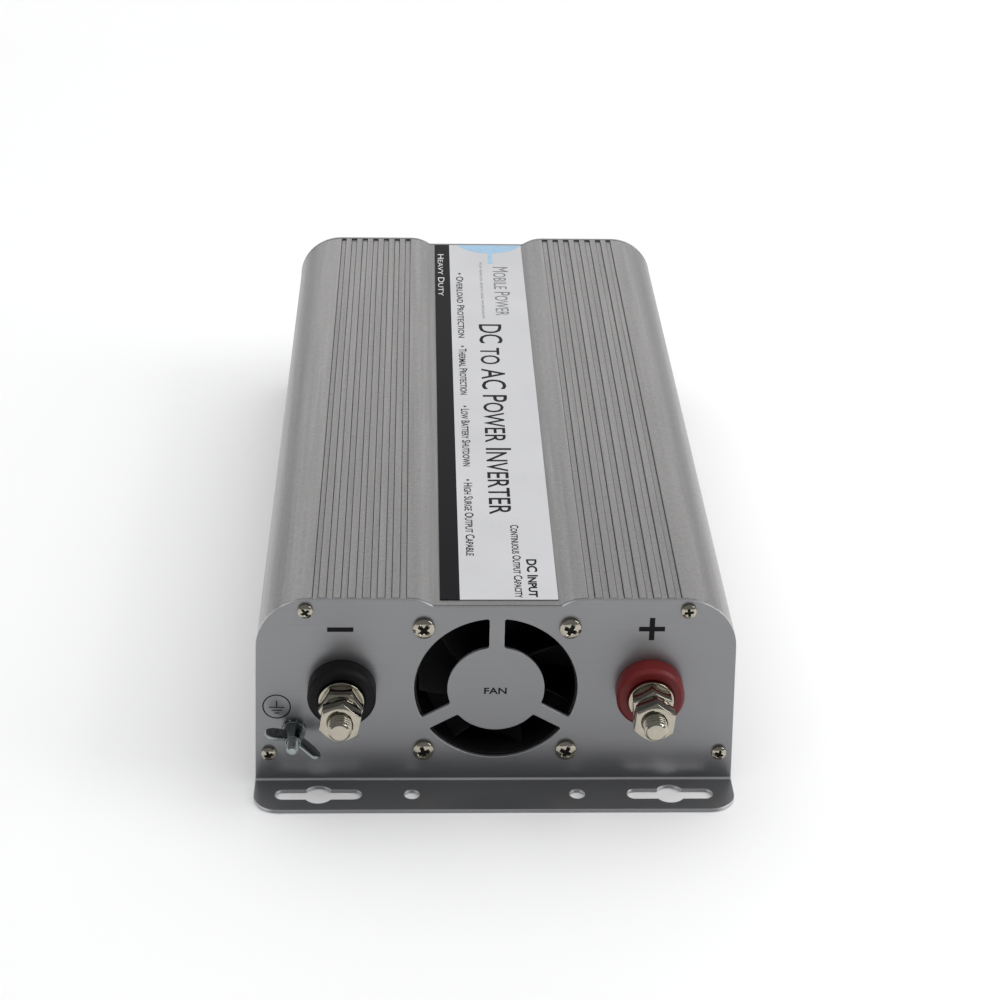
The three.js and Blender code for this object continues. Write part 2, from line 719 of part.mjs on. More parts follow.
// A finned bar along the side wall, with the transistors clamped against it.
function heatSink() {
  const half = 140;
  let bar = solid(box(0, 4, -half, half, 0, 46));
  for (let i = 0; i < 4; i++) bar = bar.add(solid(box(3, 9, -half, half, 8 + 10 * i, 10 + 10 * i)));
  for (let i = 0; i < 10; i++) {
    const y = -half + 20 + i * 26;
    bar = bar.add(solid(box(-5, 1, y - 5, y + 5, 10, 26)));
  }
  return bar;
}

function capacitor(radius, tall) {
  return post(radius, 0, tall, 0, 0, 28);
}

function choke() {
  const half = 11;
  const section = [
    [10, -half],
    [22, -half],
    [22, half],
    [10, half],
  ];
  return turned(section, 28);
}

function addInside(group) {
  const low = BOARD_TOP + GAP;
  const board = cut(
    solid(box(-84, 84, -158, 150, BOARD_TOP - 1.6, BOARD_TOP)),
    box(-50, 50, -160, -150, 0, 20),
  );
  piece(group, "main_board", board, BOARD);
  [-70, -20, 30].forEach((y, i) => {
    piece(group, `transformer_${i + 1}`, transformer(), FERRITE).position.set(0, y, low);
  });
  piece(group, "heat_sink_right", heatSink(), ZINC).position.set(83, -5, low);
  const mirrored = piece(group, "heat_sink_left", heatSink(), ZINC);
  mirrored.position.set(-83, -5, low);
  mirrored.rotation.z = Math.PI;
  [-38, 0, 38].forEach((x, i) => {
    piece(group, `input_capacitor_${i + 1}`, capacitor(11, 36), SLEEVE).position.set(x, -125, low);
  });
  piece(group, "output_capacitor", capacitor(15, 45), SLEEVE).position.set(-46, 95, low);
  const coil = piece(group, "output_choke", choke(), COPPER);
  coil.position.set(-2, 96, low + 22.2);
  piece(group, "control_board", box(30, 72, 88, 89.6, low, low + 48), BOARD);
}

// ---------------------------------------------------------------- the whole object
const inverter = new THREE.Group();

piece(inverter, "housing", caseShell(), CASE_FINISH);
piece(inverter, "base_plate", basePlate(), CASE_FINISH);
const labelZ = HEIGHT - VALLEY_DROP - SKIN_INSET + 0.05;
piece(inverter, "name_label", box(-23.4, 25.1, -194, 197.4, labelZ, labelZ + 0.25), LABEL);

const dcEnd = new THREE.Group();
dcEnd.position.y = -LENGTH / 2;
const acEnd = new THREE.Group();
acEnd.position.y = LENGTH / 2;
acEnd.rotation.z = Math.PI;
inverter.add(dcEnd, acEnd);

piece(dcEnd, "dc_end_plate", dcEndPlate(), PLATE_FINISH);
piece(acEnd, "ac_end_plate", acEndPlate(), PLATE_FINISH);
for (const [end, label] of [
  [dcEnd, "dc"],
  [acEnd, "ac"],
])
  PORT_SCREWS.forEach(([x, z], i) => {
    piece(end, `${label}_plate_screw_${i + 1}`, panHeadScrew(3.2, 2.2, 1.5, 12), NICKEL).position.set(x, 0, z);
  });
addCableStud(dcEnd, "neg", -1, BLACK, [30, 10]);
addCableStud(dcEnd, "pos", 1, RED, [-2, 5]);
addEarthStud(dcEnd);
addFan(dcEnd);
addAcFittings(acEnd);
addInside(inverter);

export default inverter;
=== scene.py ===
"""A power inverter in a grooved aluminium case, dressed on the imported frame.

Shapes are worked out in millimetres and scaled to metres as each piece is made. The end fittings are
drawn in the frame of their own end plate: its outer face is y = 0 and -y points outwards.
"""
import math

import bpy
import bmesh
import numpy as np
from mathutils import Matrix, Vector
from mathutils.geometry import delaunay_2d_cdt


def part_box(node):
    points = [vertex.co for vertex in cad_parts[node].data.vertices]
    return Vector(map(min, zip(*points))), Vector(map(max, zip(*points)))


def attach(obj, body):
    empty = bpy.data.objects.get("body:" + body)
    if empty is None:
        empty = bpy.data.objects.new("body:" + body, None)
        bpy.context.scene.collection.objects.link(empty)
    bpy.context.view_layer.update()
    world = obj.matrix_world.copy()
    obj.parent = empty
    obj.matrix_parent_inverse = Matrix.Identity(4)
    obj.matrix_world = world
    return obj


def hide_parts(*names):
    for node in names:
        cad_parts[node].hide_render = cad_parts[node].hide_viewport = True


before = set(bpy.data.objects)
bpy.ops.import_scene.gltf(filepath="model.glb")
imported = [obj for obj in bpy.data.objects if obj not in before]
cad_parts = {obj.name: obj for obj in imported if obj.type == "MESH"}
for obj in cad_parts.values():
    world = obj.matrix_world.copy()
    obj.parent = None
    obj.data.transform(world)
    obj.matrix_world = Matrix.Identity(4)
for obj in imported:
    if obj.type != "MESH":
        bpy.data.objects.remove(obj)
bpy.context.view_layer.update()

MM = 0.001
TURN = 2 * np.pi


def box_mm(node):
    """The lowest and highest corner of a CAD node, in millimetres."""
    low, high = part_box(node)
    return np.array(low) / MM, np.array(high) / MM


def middle_mm(node):
    """The middle of a CAD node's box, in millimetres."""
    low, high = box_mm(node)
    return (low + high) / 2


# ------------------------------------------------------------------ driving values, millimetres
PLATE_LOW, PLATE_HIGH = box_mm("dc_end_plate")
SHEET = 1.6
BEND = 1.2
DC_FACE = PLATE_HIGH[1] - SHEET
AC_FACE = box_mm("ac_end_plate")[0][1] + SHEET
HEIGHT = PLATE_HIGH[2]
HALF_BASE = PLATE_HIGH[0]
FLANGE = DC_FACE - PLATE_LOW[1]
SHOULDER_X, SHOULDER_R = 76.0, 23.0
PLATEAU_IN, VALLEY_HALF, VALLEY_DROP = 36.8, 26.0, 3.5
SKIN_INSET = 0.1
WALL = 2.6
LIP_IN, LIP_TOP = 92.6, 1.2
GROOVE_COUNT, GROOVE_WIDE, GROOVE_DEEP = 7, 3.0, 0.8
PLATE_SCREWS = [(-78.2, 85.2), (78.2, 85.2), (-95.0, 15.5), (95.0, 15.5)]
FAN_Z = middle_mm("fan_frame")[2]
FAN_HOLES = 30.0
FAN_SPOTS = [(x, z) for x in (-FAN_HOLES, FAN_HOLES) for z in (-FAN_HOLES, FAN_HOLES)]
STUD_X = middle_mm("pos_stud")[0]
STUD_Z = middle_mm("pos_stud")[2]
THREAD_M10, CREST_M10 = 1.5, 4.9
THREAD_M5, CREST_M5 = 0.8, 2.4
RANDOM = np.random.default_rng(7)


# ------------------------------------------------------------------ mesh making
def face_outwards(working):
    """Turn each closed island of a bmesh outwards.

    An island's volume is a third of the sum over its faces of area times centre dot normal; where that is
    negative the island is turned inside out.
    """
    bmesh.ops.recalc_face_normals(working, faces=working.faces)
    left = set(working.faces)
    while left:
        island, reached = set(), [left.pop()]
        while reached:
            face = reached.pop()
            island.add(face)
            for other in (near for edge in face.edges for near in edge.link_faces):
                if other in left:
                    left.discard(other)
                    reached.append(other)
        if sum(f.calc_area() * f.calc_center_median().dot(f.normal) for f in island) < 0:
            bmesh.ops.reverse_faces(working, faces=list(island))


def add_object(name, mesh, body, stands_for):
    """A finished mesh as an object at the origin, on its body and in its CAD node's place."""
    piece = bpy.data.objects.new(name, mesh)
    bpy.context.collection.objects.link(piece)
    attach(piece, body)
    if stands_for:
        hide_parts(stands_for)
    return piece


def new_piece(name, points, faces, material, stands_for=None, slot="black", body="root", sharp=38,
              even=False):
    """A finished piece from points in millimetres.

    Doubles are merged, faces point outwards, and edges sharper than so many degrees stay sharp. An even
    piece takes its shading from its large faces.
    """
    mesh = bpy.data.meshes.new(name)
    mesh.from_pydata((np.asarray(points, float) * MM).tolist(), [], [list(map(int, f)) for f in faces])
    working = bmesh.new()
    working.from_mesh(mesh)
    bmesh.ops.remove_doubles(working, verts=working.verts, dist=1e-6)
    bmesh.ops.dissolve_degenerate(working, dist=1e-7, edges=working.edges)
    face_outwards(working)
    working.to_mesh(mesh)
    working.free()
    mesh.shade_smooth()
    mesh.set_sharp_from_angle(angle=math.radians(sharp))
    mesh.materials.append(material)
    piece = add_object(name, mesh, body, stands_for)
    if even:
        normals = piece.modifiers.new("even_normals", "WEIGHTED_NORMAL")
        normals.keep_sharp = True
        normals.weight = 100


def grid_faces(rows, columns, wrap_rows=False, wrap_columns=False):
    """Quads between neighbours on a grid whose points are stored row by row."""
    i, j = np.meshgrid(
        np.arange(rows if wrap_rows else rows - 1),
        np.arange(columns if wrap_columns else columns - 1),
        indexing="ij",
    )
    down, right = (i + 1) % rows, (j + 1) % columns
    return np.stack(
        [i * columns + j, i * columns + right, down * columns + right, down * columns + j], -1
    ).reshape(-1, 4)


def merge(*parts):
    """One (points, faces) from several: the later faces are numbered on from the earlier points."""
    points, faces, count = [], [], 0
    for part_points, part_faces in parts:
        points.append(np.asarray(part_points, float))
        faces += [[int(v) + count for v in face] for face in part_faces]
        count += len(part_points)
    return np.concatenate(points), faces


def moved(part, shift):
    """A (points, faces) carried by a shift."""
    return part[0] + np.asarray(shift, float), part[1]


def turned_about_y(part, angle):
    """A (points, faces) turned about the Y axis, +z towards +x."""
    points, faces = part
    x, y, z = points.T
    c, s = np.cos(angle), np.sin(angle)
    return np.stack([c * x + s * z, y, c * z - s * x], -1), faces


def round_corners(corners, radii, steps=5):
    """A closed path with an exact arc at each corner.

    The arc is the rational curve ((1-t)^2 A + 2wt(1-t) P + t^2 B) / ((1-t)^2 + 2wt(1-t) + t^2) between the
    two points A and B where it meets its sides, with w the cosine of half the turn.
    """
    corners = np.asarray(corners, float)
    radii = np.broadcast_to(np.asarray(radii, float), len(corners))
    back = np.roll(corners, 1, 0) - corners
    ahead = np.roll(corners, -1, 0) - corners
    back /= np.maximum(np.linalg.norm(back, axis=1, keepdims=True), 1e-12)
    ahead /= np.maximum(np.linalg.norm(ahead, axis=1, keepdims=True), 1e-12)
    half_turn = (np.pi - np.arccos(np.clip((back * ahead).sum(1), -1, 1))) / 2
    reach = (radii * np.tan(np.minimum(half_turn, 1.55)))[:, None]
    weight = np.cos(half_turn)[:, None, None]
    t = np.linspace(0, 1, steps)[None, :, None]
    start, end = (corners + back * reach)[:, None], (corners + ahead * reach)[:, None]
    blend = (1 - t) ** 2 + 2 * weight * t * (1 - t) + t**2
    path = ((1 - t) ** 2 * start + 2 * weight * t * (1 - t) * corners[:, None] + t**2 * end) / blend
    path = path.reshape(-1, 2)
    gap = np.linalg.norm(path - np.roll(path, 1, 0), axis=1)
    return path[gap > 1e-5]


def circle(x, z, radius, segments=48, turn=0.0):
    """Points round a circle, anticlockwise."""
    angle = np.arange(segments) * TURN / segments + turn
    return np.stack([x + radius * np.cos(angle), z + radius * np.sin(angle)], -1)


def rectangle(x0, x1, z0, z1, radius=0.0, steps=5):
    """A rectangle with round corners, anticlockwise."""
    return round_corners([(x0, z0), (x1, z0), (x1, z1), (x0, z1)], radius, steps)


def anticlockwise(loop):
    """The loop, turned round if its signed area (half the sum of its edges' cross products) is negative."""
    following = np.roll(loop, -1, 0)
    area = (loop[:, 0] * following[:, 1] - following[:, 0] * loop[:, 1]).sum()
    return loop if area > 0 else loop[::-1]


def left_normals(loop):
    """At each point of a closed loop, the mitred normal that moves both its edges one unit to the left."""
    along = np.roll(loop, -1, 0) - loop
    along /= np.linalg.norm(along, axis=1, keepdims=True)
    after = np.stack([-along[:, 1], along[:, 0]], -1)
    before = np.roll(after, 1, 0)
    return (before + after) / (1 + (before * after).sum(1, keepdims=True))


def standing(shift):
    """A place for slab: upright in an end's frame, its front at y = shift."""
    return lambda a, b, t: (a, t + shift, b)


def lying(shift):
    """A place for slab: flat, its front at z = shift."""
    return lambda a, b, t: (a, b, t + shift)


def slab(outer, holes, thickness, rim, place, folds=(), rim_steps=4, back_rim=None, border=0.0):
    """A flat plate with holes, its edges rounded by quarter circles of radius rim on both faces.

    A point is (a, b, t): a and b lie in the face and t runs from 0 on the front to the thickness on the
    back. place turns those three arrays into x, y, z. folds are values of b where the outline has a point
    on both sides: the faces are cut along them, so that place may fold the plate there. A border is a
    flat strip of that width inside each rounding, which keeps the shading of the faces flat.
    """
    back_rim = rim if back_rim is None else back_rim
    loops = [anticlockwise(outer)] + [anticlockwise(hole)[::-1] for hole in holes]
    quarter = np.linspace(0, np.pi / 2, rim_steps)
    inwards = np.concatenate([rim * (1 - np.sin(quarter)), back_rim * (1 - np.cos(quarter))])
    depth = np.concatenate([rim * (1 - np.cos(quarter)), thickness - back_rim * (1 - np.sin(quarter))])
    if border:
        inwards = np.concatenate([[rim + border], inwards, [back_rim + border]])
        depth = np.concatenate([[0.0], depth, [thickness]])
    points, faces, fronts, first = [], [], [], 0
    rows = len(depth)
    for loop in loops:
        normals = left_normals(loop)
        path = loop[None] + normals[None] * inwards[:, None, None]
        ring = np.concatenate([path, np.broadcast_to(depth[:, None, None], path.shape[:2] + (1,))], 2)
        points.append(ring.reshape(-1, 3))
        faces.append(grid_faces(rows, len(loop), wrap_columns=True) + first)
        fronts.append((first, len(loop), path[0]))
        first += rows * len(loop)
    flat = np.concatenate([path for _, _, path in fronts])
    front_index = np.concatenate([np.arange(count) + start for start, count, _ in fronts])
    deeper = np.concatenate([np.full(count, (rows - 1) * count) for _, count, _ in fronts])
    back_index = front_index + deeper
    spans, at = [], 0
    for number, (_, count, _) in enumerate(fronts):
        span = list(range(at, at + count))
        spans.append(span if number == 0 else span[::-1])
        at += count
    cuts = []
    for value in folds:
        on_fold = np.flatnonzero(np.abs(loops[0][:, 1] - value) < 1e-6)
        order = on_fold[np.argsort(flat[on_fold, 0])]
        cuts.append((int(order[0]), int(order[-1])))
    made = delaunay_2d_cdt([Vector(point) for point in flat], cuts, spans, 1, 1e-7)
    triangles, came_from, lies_in = made[2], made[3], made[5]
    skin = [[came_from[v][0] for v in face] for face, loop in zip(triangles, lies_in) if set(loop) == {0}]
    skin = np.array(skin)
    every = np.concatenate(faces).tolist() + front_index[skin].tolist() + back_index[skin[:, ::-1]].tolist()
    return np.stack(place(*np.concatenate(points).T), -1), every


def turned_rows(rows, angle, turn, wrap_rows=False):
    """A surface about Y from rows of (radius, y), each one number or one for every angle, then turned."""
    radius, y = (np.array([np.broadcast_to(value, angle.shape) for value in column]) for column in zip(*rows))
    points = np.stack([radius * np.sin(angle + turn), y, radius * np.cos(angle + turn)], -1)
    return points.reshape(-1, 3), grid_faces(len(rows), len(angle), wrap_rows, wrap_columns=True)


def lathe(profile, segments=64):
    """A surface of revolution about Y: each (radius, y) of the profile carried round the axis.

    A profile that starts and ends off the axis is joined up, so the surface is closed.
    """
    angle = np.arange(segments) * TURN / segments
    return turned_rows(profile, angle, 0.0, wrap_rows=profile[0][0] > 0 and profile[-1][0] > 0)


def extrusion(section, low, high):
    """A closed section carried straight along Y, with a face across each end."""
    section = anticlockwise(section)
    count = len(section)
    both = np.concatenate([section, section])
    faces = grid_faces(2, count, wrap_columns=True).tolist()
    faces += [list(range(count)), list(range(2 * count - 1, count - 1, -1))]
    return np.stack([both[:, 0], np.repeat([low, high], count), both[:, 1]], -1), faces


# ------------------------------------------------------------------ shader groups
def group_of(name, inputs, outputs):
    """An empty shader group with float inputs {name: value} and float outputs by name."""
    made = bpy.data.node_groups.new(name, "ShaderNodeTree")
    for label, value in inputs.items():
        socket = made.interface.new_socket(label, in_out="INPUT", socket_type="NodeSocketFloat")
        socket.default_value = value
    for label in outputs:
        made.interface.new_socket(label, in_out="OUTPUT", socket_type="NodeSocketFloat")
    return made, made.nodes.new("NodeGroupInput"), made.nodes.new("NodeGroupOutput")


def maths(tree, operation, first, second=0.5, clamp=False):
    """A Math node on two sockets or numbers, and its output."""
    node = tree.nodes.new("ShaderNodeMath")
    node.operation = operation
    node.use_clamp = clamp
    for slot_number, value in enumerate((first, second)):
        if isinstance(value, (int, float)):
            node.inputs[slot_number].default_value = value
        else:
            tree.links.new(value, node.inputs[slot_number])
    return node.outputs[0]


def object_place(tree):
    """The point's place on the object."""
    return tree.nodes.new("ShaderNodeTexCoord").outputs["Object"]


def split(tree, vector):
    """A vector's X, Y and Z."""
    parts = tree.nodes.new("ShaderNodeSeparateXYZ")
    tree.links.new(vector, parts.inputs[0])
    return parts.outputs


def surface_normal(tree):
    """The X, Y and Z of the surface's normal."""
    return split(tree, tree.nodes.new("ShaderNodeNewGeometry").outputs["Normal"])


def product(tree, first, *others, clamp=False):
    """Several values multiplied together, the last product held between 0 and 1 if asked."""
    for number, other in enumerate(others, 1):
        first = maths(tree, "MULTIPLY", first, other, clamp and number == len(others))
    return first


def noise(tree, vector, scale, detail=3.0, roughness=0.55):
    """A Noise node on a vector socket, and its value."""
    node = tree.nodes.new("ShaderNodeTexNoise")
    node.inputs["Detail"].default_value = detail
    node.inputs["Roughness"].default_value = roughness
    if isinstance(scale, (int, float)):
        node.inputs["Scale"].default_value = scale
    else:
        tree.links.new(scale, node.inputs["Scale"])
    tree.links.new(vector, node.inputs["Vector"])
    return node.outputs["Fac"]


def make_blasted():
    """Bead-blasted metal: a fine even grain, with soft patches some centimetres across."""
    inputs = {"Grain Scale": 2600.0, "Patch Scale": 14.0}
    tree, given, out = group_of("blasted_grain", inputs, ["Grain", "Patch"])
    place = object_place(tree)
    grain = noise(tree, place, given.outputs["Grain Scale"], 2.0, 0.6)
    patch = noise(tree, place, given.outputs["Patch Scale"], 3.0, 0.5)
    tree.links.new(grain, out.inputs["Grain"])
    tree.links.new(patch, out.inputs["Patch"])
    return tree


def make_drawn_lines():
    """Fine lines left by a die or a belt: noise stretched a long way in one direction."""
    inputs = {"Along X": 1.0, "Along Y": 1.0, "Along Z": 1.0, "Scale": 900.0}
    tree, given, out = group_of("drawn_lines", inputs, ["Lines"])
    stretch = tree.nodes.new("ShaderNodeCombineXYZ")
    for axis in "XYZ":
        tree.links.new(given.outputs[f"Along {axis}"], stretch.inputs[axis])
    scaled = tree.nodes.new("ShaderNodeVectorMath")
    scaled.operation = "MULTIPLY"
    tree.links.new(object_place(tree), scaled.inputs[0])
    tree.links.new(stretch.outputs[0], scaled.inputs[1])
    tree.links.new(noise(tree, scaled.outputs[0], given.outputs["Scale"], 4.0, 0.6), out.inputs["Lines"])
    return tree


def make_worn_edges():
    """Where the surface turns sharply outwards, as edges do: 1 on edges, broken up by noise."""
    tree, given, out = group_of("worn_edges", {"Reach": 0.52, "Break Up": 0.25}, ["Edge"])
    pointed = tree.nodes.new("ShaderNodeNewGeometry").outputs["Pointiness"]
    unevenness = maths(tree, "SUBTRACT", noise(tree, object_place(tree), 700.0), 0.5)
    ragged = product(tree, unevenness, given.outputs["Break Up"])
    above = maths(tree, "SUBTRACT", maths(tree, "ADD", pointed, ragged), given.outputs["Reach"])
    tree.links.new(product(tree, above, 12.0, clamp=True), out.inputs["Edge"])
    return tree


def make_settled_dust():
    """Dust on what faces up: a patchy mask that follows the upward part of the normal."""
    tree, given, out = group_of("settled_dust", {"Amount": 0.3}, ["Dust"])
    place = object_place(tree)
    upward = maths(tree, "MAXIMUM", surface_normal(tree)["Z"], 0.0)
    patchy = product(tree, noise(tree, place, 160.0, 5.0), noise(tree, place, 2300.0, 2.0))
    tree.links.new(product(tree, upward, patchy, given.outputs["Amount"], clamp=True), out.inputs["Dust"])
    return tree


BLASTED = make_blasted()
DRAWN = make_drawn_lines()
WORN = make_worn_edges()
DUST = make_settled_dust()


class Finish:
    """One material: a Principled shader, with helpers that add groups, blends and bumps to it."""

    def __init__(self, name, color, metallic, roughness, **fixed):
        self.material = bpy.data.materials.new(name)
        self.material.use_nodes = True
        self.tree = self.material.node_tree
        self.shader = self.tree.nodes["Principled BSDF"]
        self.shader.inputs["Base Color"].default_value = (*color, 1)
        self.shader.inputs["Metallic"].default_value = metallic
        self.shader.inputs["Roughness"].default_value = roughness
        for label, value in fixed.items():
            self.shader.inputs[label.replace("_", " ")].default_value = value
        self.material.diffuse_color = (*color, 1)

    def use(self, group, **values):
        """A group's node with its own values; underscores in the names stand for spaces."""
        node = self.tree.nodes.new("ShaderNodeGroup")
        node.node_tree = group
        for label, value in values.items():
            node.inputs[label.replace("_", " ")].default_value = value
        return node.outputs

    def grain(self, grain_scale, patch_scale):
        """The blasted grain at two scales: the fine grain and the wide patches."""
        outputs = self.use(BLASTED, Grain_Scale=grain_scale, Patch_Scale=patch_scale)
        return outputs["Grain"], outputs["Patch"]

    def spread(self, value, low, high, from_low=0.3, from_high=0.7):
        """A value mapped to a range, such as noise to roughness."""
        node = self.tree.nodes.new("ShaderNodeMapRange")
        ends = {"From Min": from_low, "From Max": from_high, "To Min": low, "To Max": high}
        for label, number in ends.items():
            node.inputs[label].default_value = number
        self.tree.links.new(value, node.inputs["Value"])
        return node.outputs["Result"]

    def mix(self, mask, first, second):
        """The first colour, or the second where the mask is 1; each is a socket or three numbers."""
        node = self.tree.nodes.new("ShaderNodeMix")
        node.data_type = "RGBA"
        self.tree.links.new(mask, node.inputs["Factor"])
        for label, value in (("A", first), ("B", second)):
            socket = next(s for s in node.inputs if s.name == label and s.type == "RGBA")
            if isinstance(value, tuple):
                socket.default_value = (*value, 1)
            else:
                self.tree.links.new(value, socket)
        return next(s for s in node.outputs if s.type == "RGBA")

    def blend(self, value, amount, first, second):
        """The first colour, going over to the second by up to an amount where a noise value is high."""
        return self.mix(self.spread(value, 0.0, amount), first, second)

    def feed(self, label, value):
        """Join a value to one of the shader's sockets."""
        self.tree.links.new(value, self.shader.inputs[label])

    def look(self, color, roughness):
        """Join a colour and a roughness to the shader."""
        self.feed("Base Color", color)
        self.feed("Roughness", roughness)

    def bump(self, height, distance, strength=1.0, over=None):
        """Relief of that depth in metres, over an earlier normal if one is given."""
        node = self.tree.nodes.new("ShaderNodeBump")
        node.inputs["Distance"].default_value = distance
        node.inputs["Strength"].default_value = strength
        self.tree.links.new(height, node.inputs["Height"])
        if over is not None:
            self.tree.links.new(over, node.inputs["Normal"])
        self.feed("Normal", node.outputs[0])
        return node.outputs[0]


def rim_highlight_mask(tree):
    """Mask of the painted edge highlight: 1 on a plate's rounded edges, 0 on its faces, from how far the
    normal leans from both Y and Z.
    """
    normal = surface_normal(tree)
    across, upward = (maths(tree, "ABSOLUTE", normal[axis]) for axis in "YZ")
    lean = maths(tree, "SUBTRACT", 1.0, maths(tree, "MAXIMUM", across, upward))
    return product(tree, maths(tree, "SUBTRACT", lean, 0.02), 9.0, clamp=True)


def slit_shade_mask(tree):
    """Mask of painted shade: 1 in the fine slits beside the grooves of the flat top, where shade falls."""
    place = split(tree, object_place(tree))
    sideways = maths(tree, "ABSOLUTE", place["X"])
    floor = HEIGHT - SKIN_INSET - GROOVE_DEEP
    below = maths(tree, "LESS_THAN", place["Z"], (floor - 0.06) * MM)
    above = maths(tree, "GREATER_THAN", place["Z"], (floor - 0.5) * MM)
    near = maths(tree, "LESS_THAN", sideways, SHOULDER_X * MM)
    past = maths(tree, "GREATER_THAN", sideways, (PLATEAU_IN + 0.1) * MM)
    return product(tree, below, above, near, past)


def blasted_case():
    """Warm grey anodised extrusion, bead-blasted, with the faint lines of its die and painted shade in the
    slits beside its grooves.
    """
    made = Finish("case_anodised", CASE_GREY, 1.0, 0.44)
    grain, patch = made.grain(2400.0, 9.0)
    lines = made.use(DRAWN, Along_X=1.0, Along_Y=0.012, Along_Z=1.0, Scale=700.0)
    edge = made.use(WORN, Reach=0.56, Break_Up=0.1)
    tone = made.blend(grain, 1.0, shade(CASE_GREY, 0.87), shade(CASE_GREY, 1.12))
    tone = made.blend(patch, 0.22, tone, shade(CASE_GREY, 0.82))
    tone = made.mix(edge["Edge"], tone, shade(CASE_GREY, 1.35))
    # Painted shade: the fine slits beside the grooves are darkened to stand in for the shade that falls in
    # them.
    tone = made.mix(slit_shade_mask(made.tree), tone, shade(CASE_GREY, 0.3))
    made.look(tone, made.spread(lines["Lines"], 0.4, 0.5))
    first = made.bump(lines["Lines"], 0.00002, 0.35)
    made.bump(grain, 0.00005, 0.55, over=first)
    return made.material


def satin_plate():
    """Cool grey anodised sheet: much smoother than the case, with a faint rolling grain and a painted
    highlight on its rounded edges.
    """
    made = Finish("plate_anodised", PLATE_GREY, 0.78, 0.33)
    grain, patch = made.grain(3200.0, 18.0)
    lines = made.use(DRAWN, Along_X=0.02, Along_Y=1.0, Along_Z=1.0, Scale=1100.0)
    tone = made.blend(lines["Lines"], 1.0, shade(PLATE_GREY, 0.97), shade(PLATE_GREY, 1.03))
    tone = made.blend(patch, 0.2, tone, shade(PLATE_GREY, 0.9))
    # Painted highlight: the plate's rounded edges are made much paler to stand in for the light they catch.
    tone = made.mix(rim_highlight_mask(made.tree), tone, shade(PLATE_GREY, 2.2))
    made.look(tone, made.spread(patch, 0.29, 0.38))
    first = made.bump(lines["Lines"], 0.00001, 0.25)
    made.bump(grain, 0.00002, 0.3, over=first)
    return made.material


def plated(name, color, low, high, spots=0.25):
    """A bright plated fastener: small changes of gloss, a fine grain and a few dull spots."""
    made = Finish(name, color, 1.0, (low + high) / 2)
    grain, patch = made.grain(1500.0, 330.0)
    dust = made.use(DUST, Amount=0.5)
    dull = made.spread(patch, 0.0, spots, 0.45, 0.75)
    tone = made.mix(dull, color, shade(color, 0.55))
    made.look(made.mix(dust["Dust"], tone, (0.35, 0.33, 0.3)), made.spread(patch, low, high))
    made.bump(grain, 0.00001, 0.3)
    return made.material


def moulded(name, color, roughness, dust_amount=0.35, **fixed):
    """Moulded plastic: a fine matt texture, gloss that varies a little, paler edges and some dust."""
    made = Finish(name, color, 0.0, roughness, **fixed)
    grain, patch = made.grain(1800.0, 60.0)
    edge = made.use(WORN, Reach=0.55, Break_Up=0.2)
    dust = made.use(DUST, Amount=dust_amount)
    tone = made.blend(patch, 0.3, color, shade(color, 0.7))
    paler = tuple(min(1, c * 1.5 + 0.03) for c in color)
    tone = made.mix(made.spread(edge["Edge"], 0.0, 0.25, 0.0, 1.0), tone, paler)
    gloss = made.spread(patch, roughness * 0.85, roughness * 1.15)
    made.look(made.mix(dust["Dust"], tone, (0.4, 0.38, 0.35)), gloss)
    made.bump(grain, 0.00003, 0.35)
    return made.material


def label_film():
    """Printed film: a black band down its left edge, the rest off-white, under a thin clear coat."""
    made = Finish("label_film", (0.5, 0.5, 0.51), 0.0, 0.5, Specular_IOR_Level=0.05)
    sideways = split(made.tree, object_place(made.tree))["X"]
    band = maths(made.tree, "LESS_THAN", sideways, BAND_RIGHT * MM)
    grain, patch = made.grain(2200.0, 25.0)
    white = made.blend(patch, 1.0, (0.54, 0.54, 0.55), (0.5, 0.5, 0.51))
    made.look(made.mix(band, white, (0.008, 0.008, 0.009)), made.spread(grain, 0.34, 0.44))
    made.bump(grain, 0.00001, 0.2)
    return made.material


def ink(name, color):
    """Screen-printed ink: slightly uneven in cover and gloss."""
    made = Finish(name, color, 0.0, 0.5, Specular_IOR_Level=0.12)
    grain, patch = made.grain(2800.0, 240.0)
    thinner = tuple(c * 1.2 + 0.01 for c in color)
    tone = made.blend(patch, 0.35, color, thinner)
    made.look(tone, made.spread(grain, 0.42, 0.58))
    return made.material


def circuit_board():
    """Green solder mask over copper tracks: cells stand a little proud, with pale pads here and there."""
    made = Finish("board_green", (0.02, 0.12, 0.05), 0.0, 0.35)
    cells = made.tree.nodes.new("ShaderNodeTexVoronoi")
    cells.distance = "MANHATTAN"
    cells.inputs["Scale"].default_value = 230.0
    made.tree.links.new(object_place(made.tree), cells.inputs["Vector"])
    track = made.spread(cells.outputs["Distance"], 0.0, 1.0, 0.2, 0.3)
    _, patch = made.grain(1500.0, 40.0)
    tone = made.mix(track, (0.03, 0.2, 0.08), (0.012, 0.09, 0.04))
    tone = made.blend(patch, 0.3, tone, (0.01, 0.05, 0.02))
    made.look(tone, made.spread(patch, 0.28, 0.42))
    made.bump(track, 0.00004, 0.6)
    return made.material


def wound_copper():
    """Enamelled copper wire, laid turn by turn."""
    made = Finish("copper_winding", (0.62, 0.26, 0.1), 1.0, 0.3)
    lines = made.use(DRAWN, Along_X=0.05, Along_Y=1.0, Along_Z=1.0, Scale=500.0)
    _, patch = made.grain(900.0, 60.0)
    tone = made.blend(lines["Lines"], 1.0, (0.7, 0.32, 0.13), (0.34, 0.12, 0.05))
    made.look(tone, made.spread(patch, 0.24, 0.4))
    made.bump(lines["Lines"], 0.0002, 0.6)
    return made.material


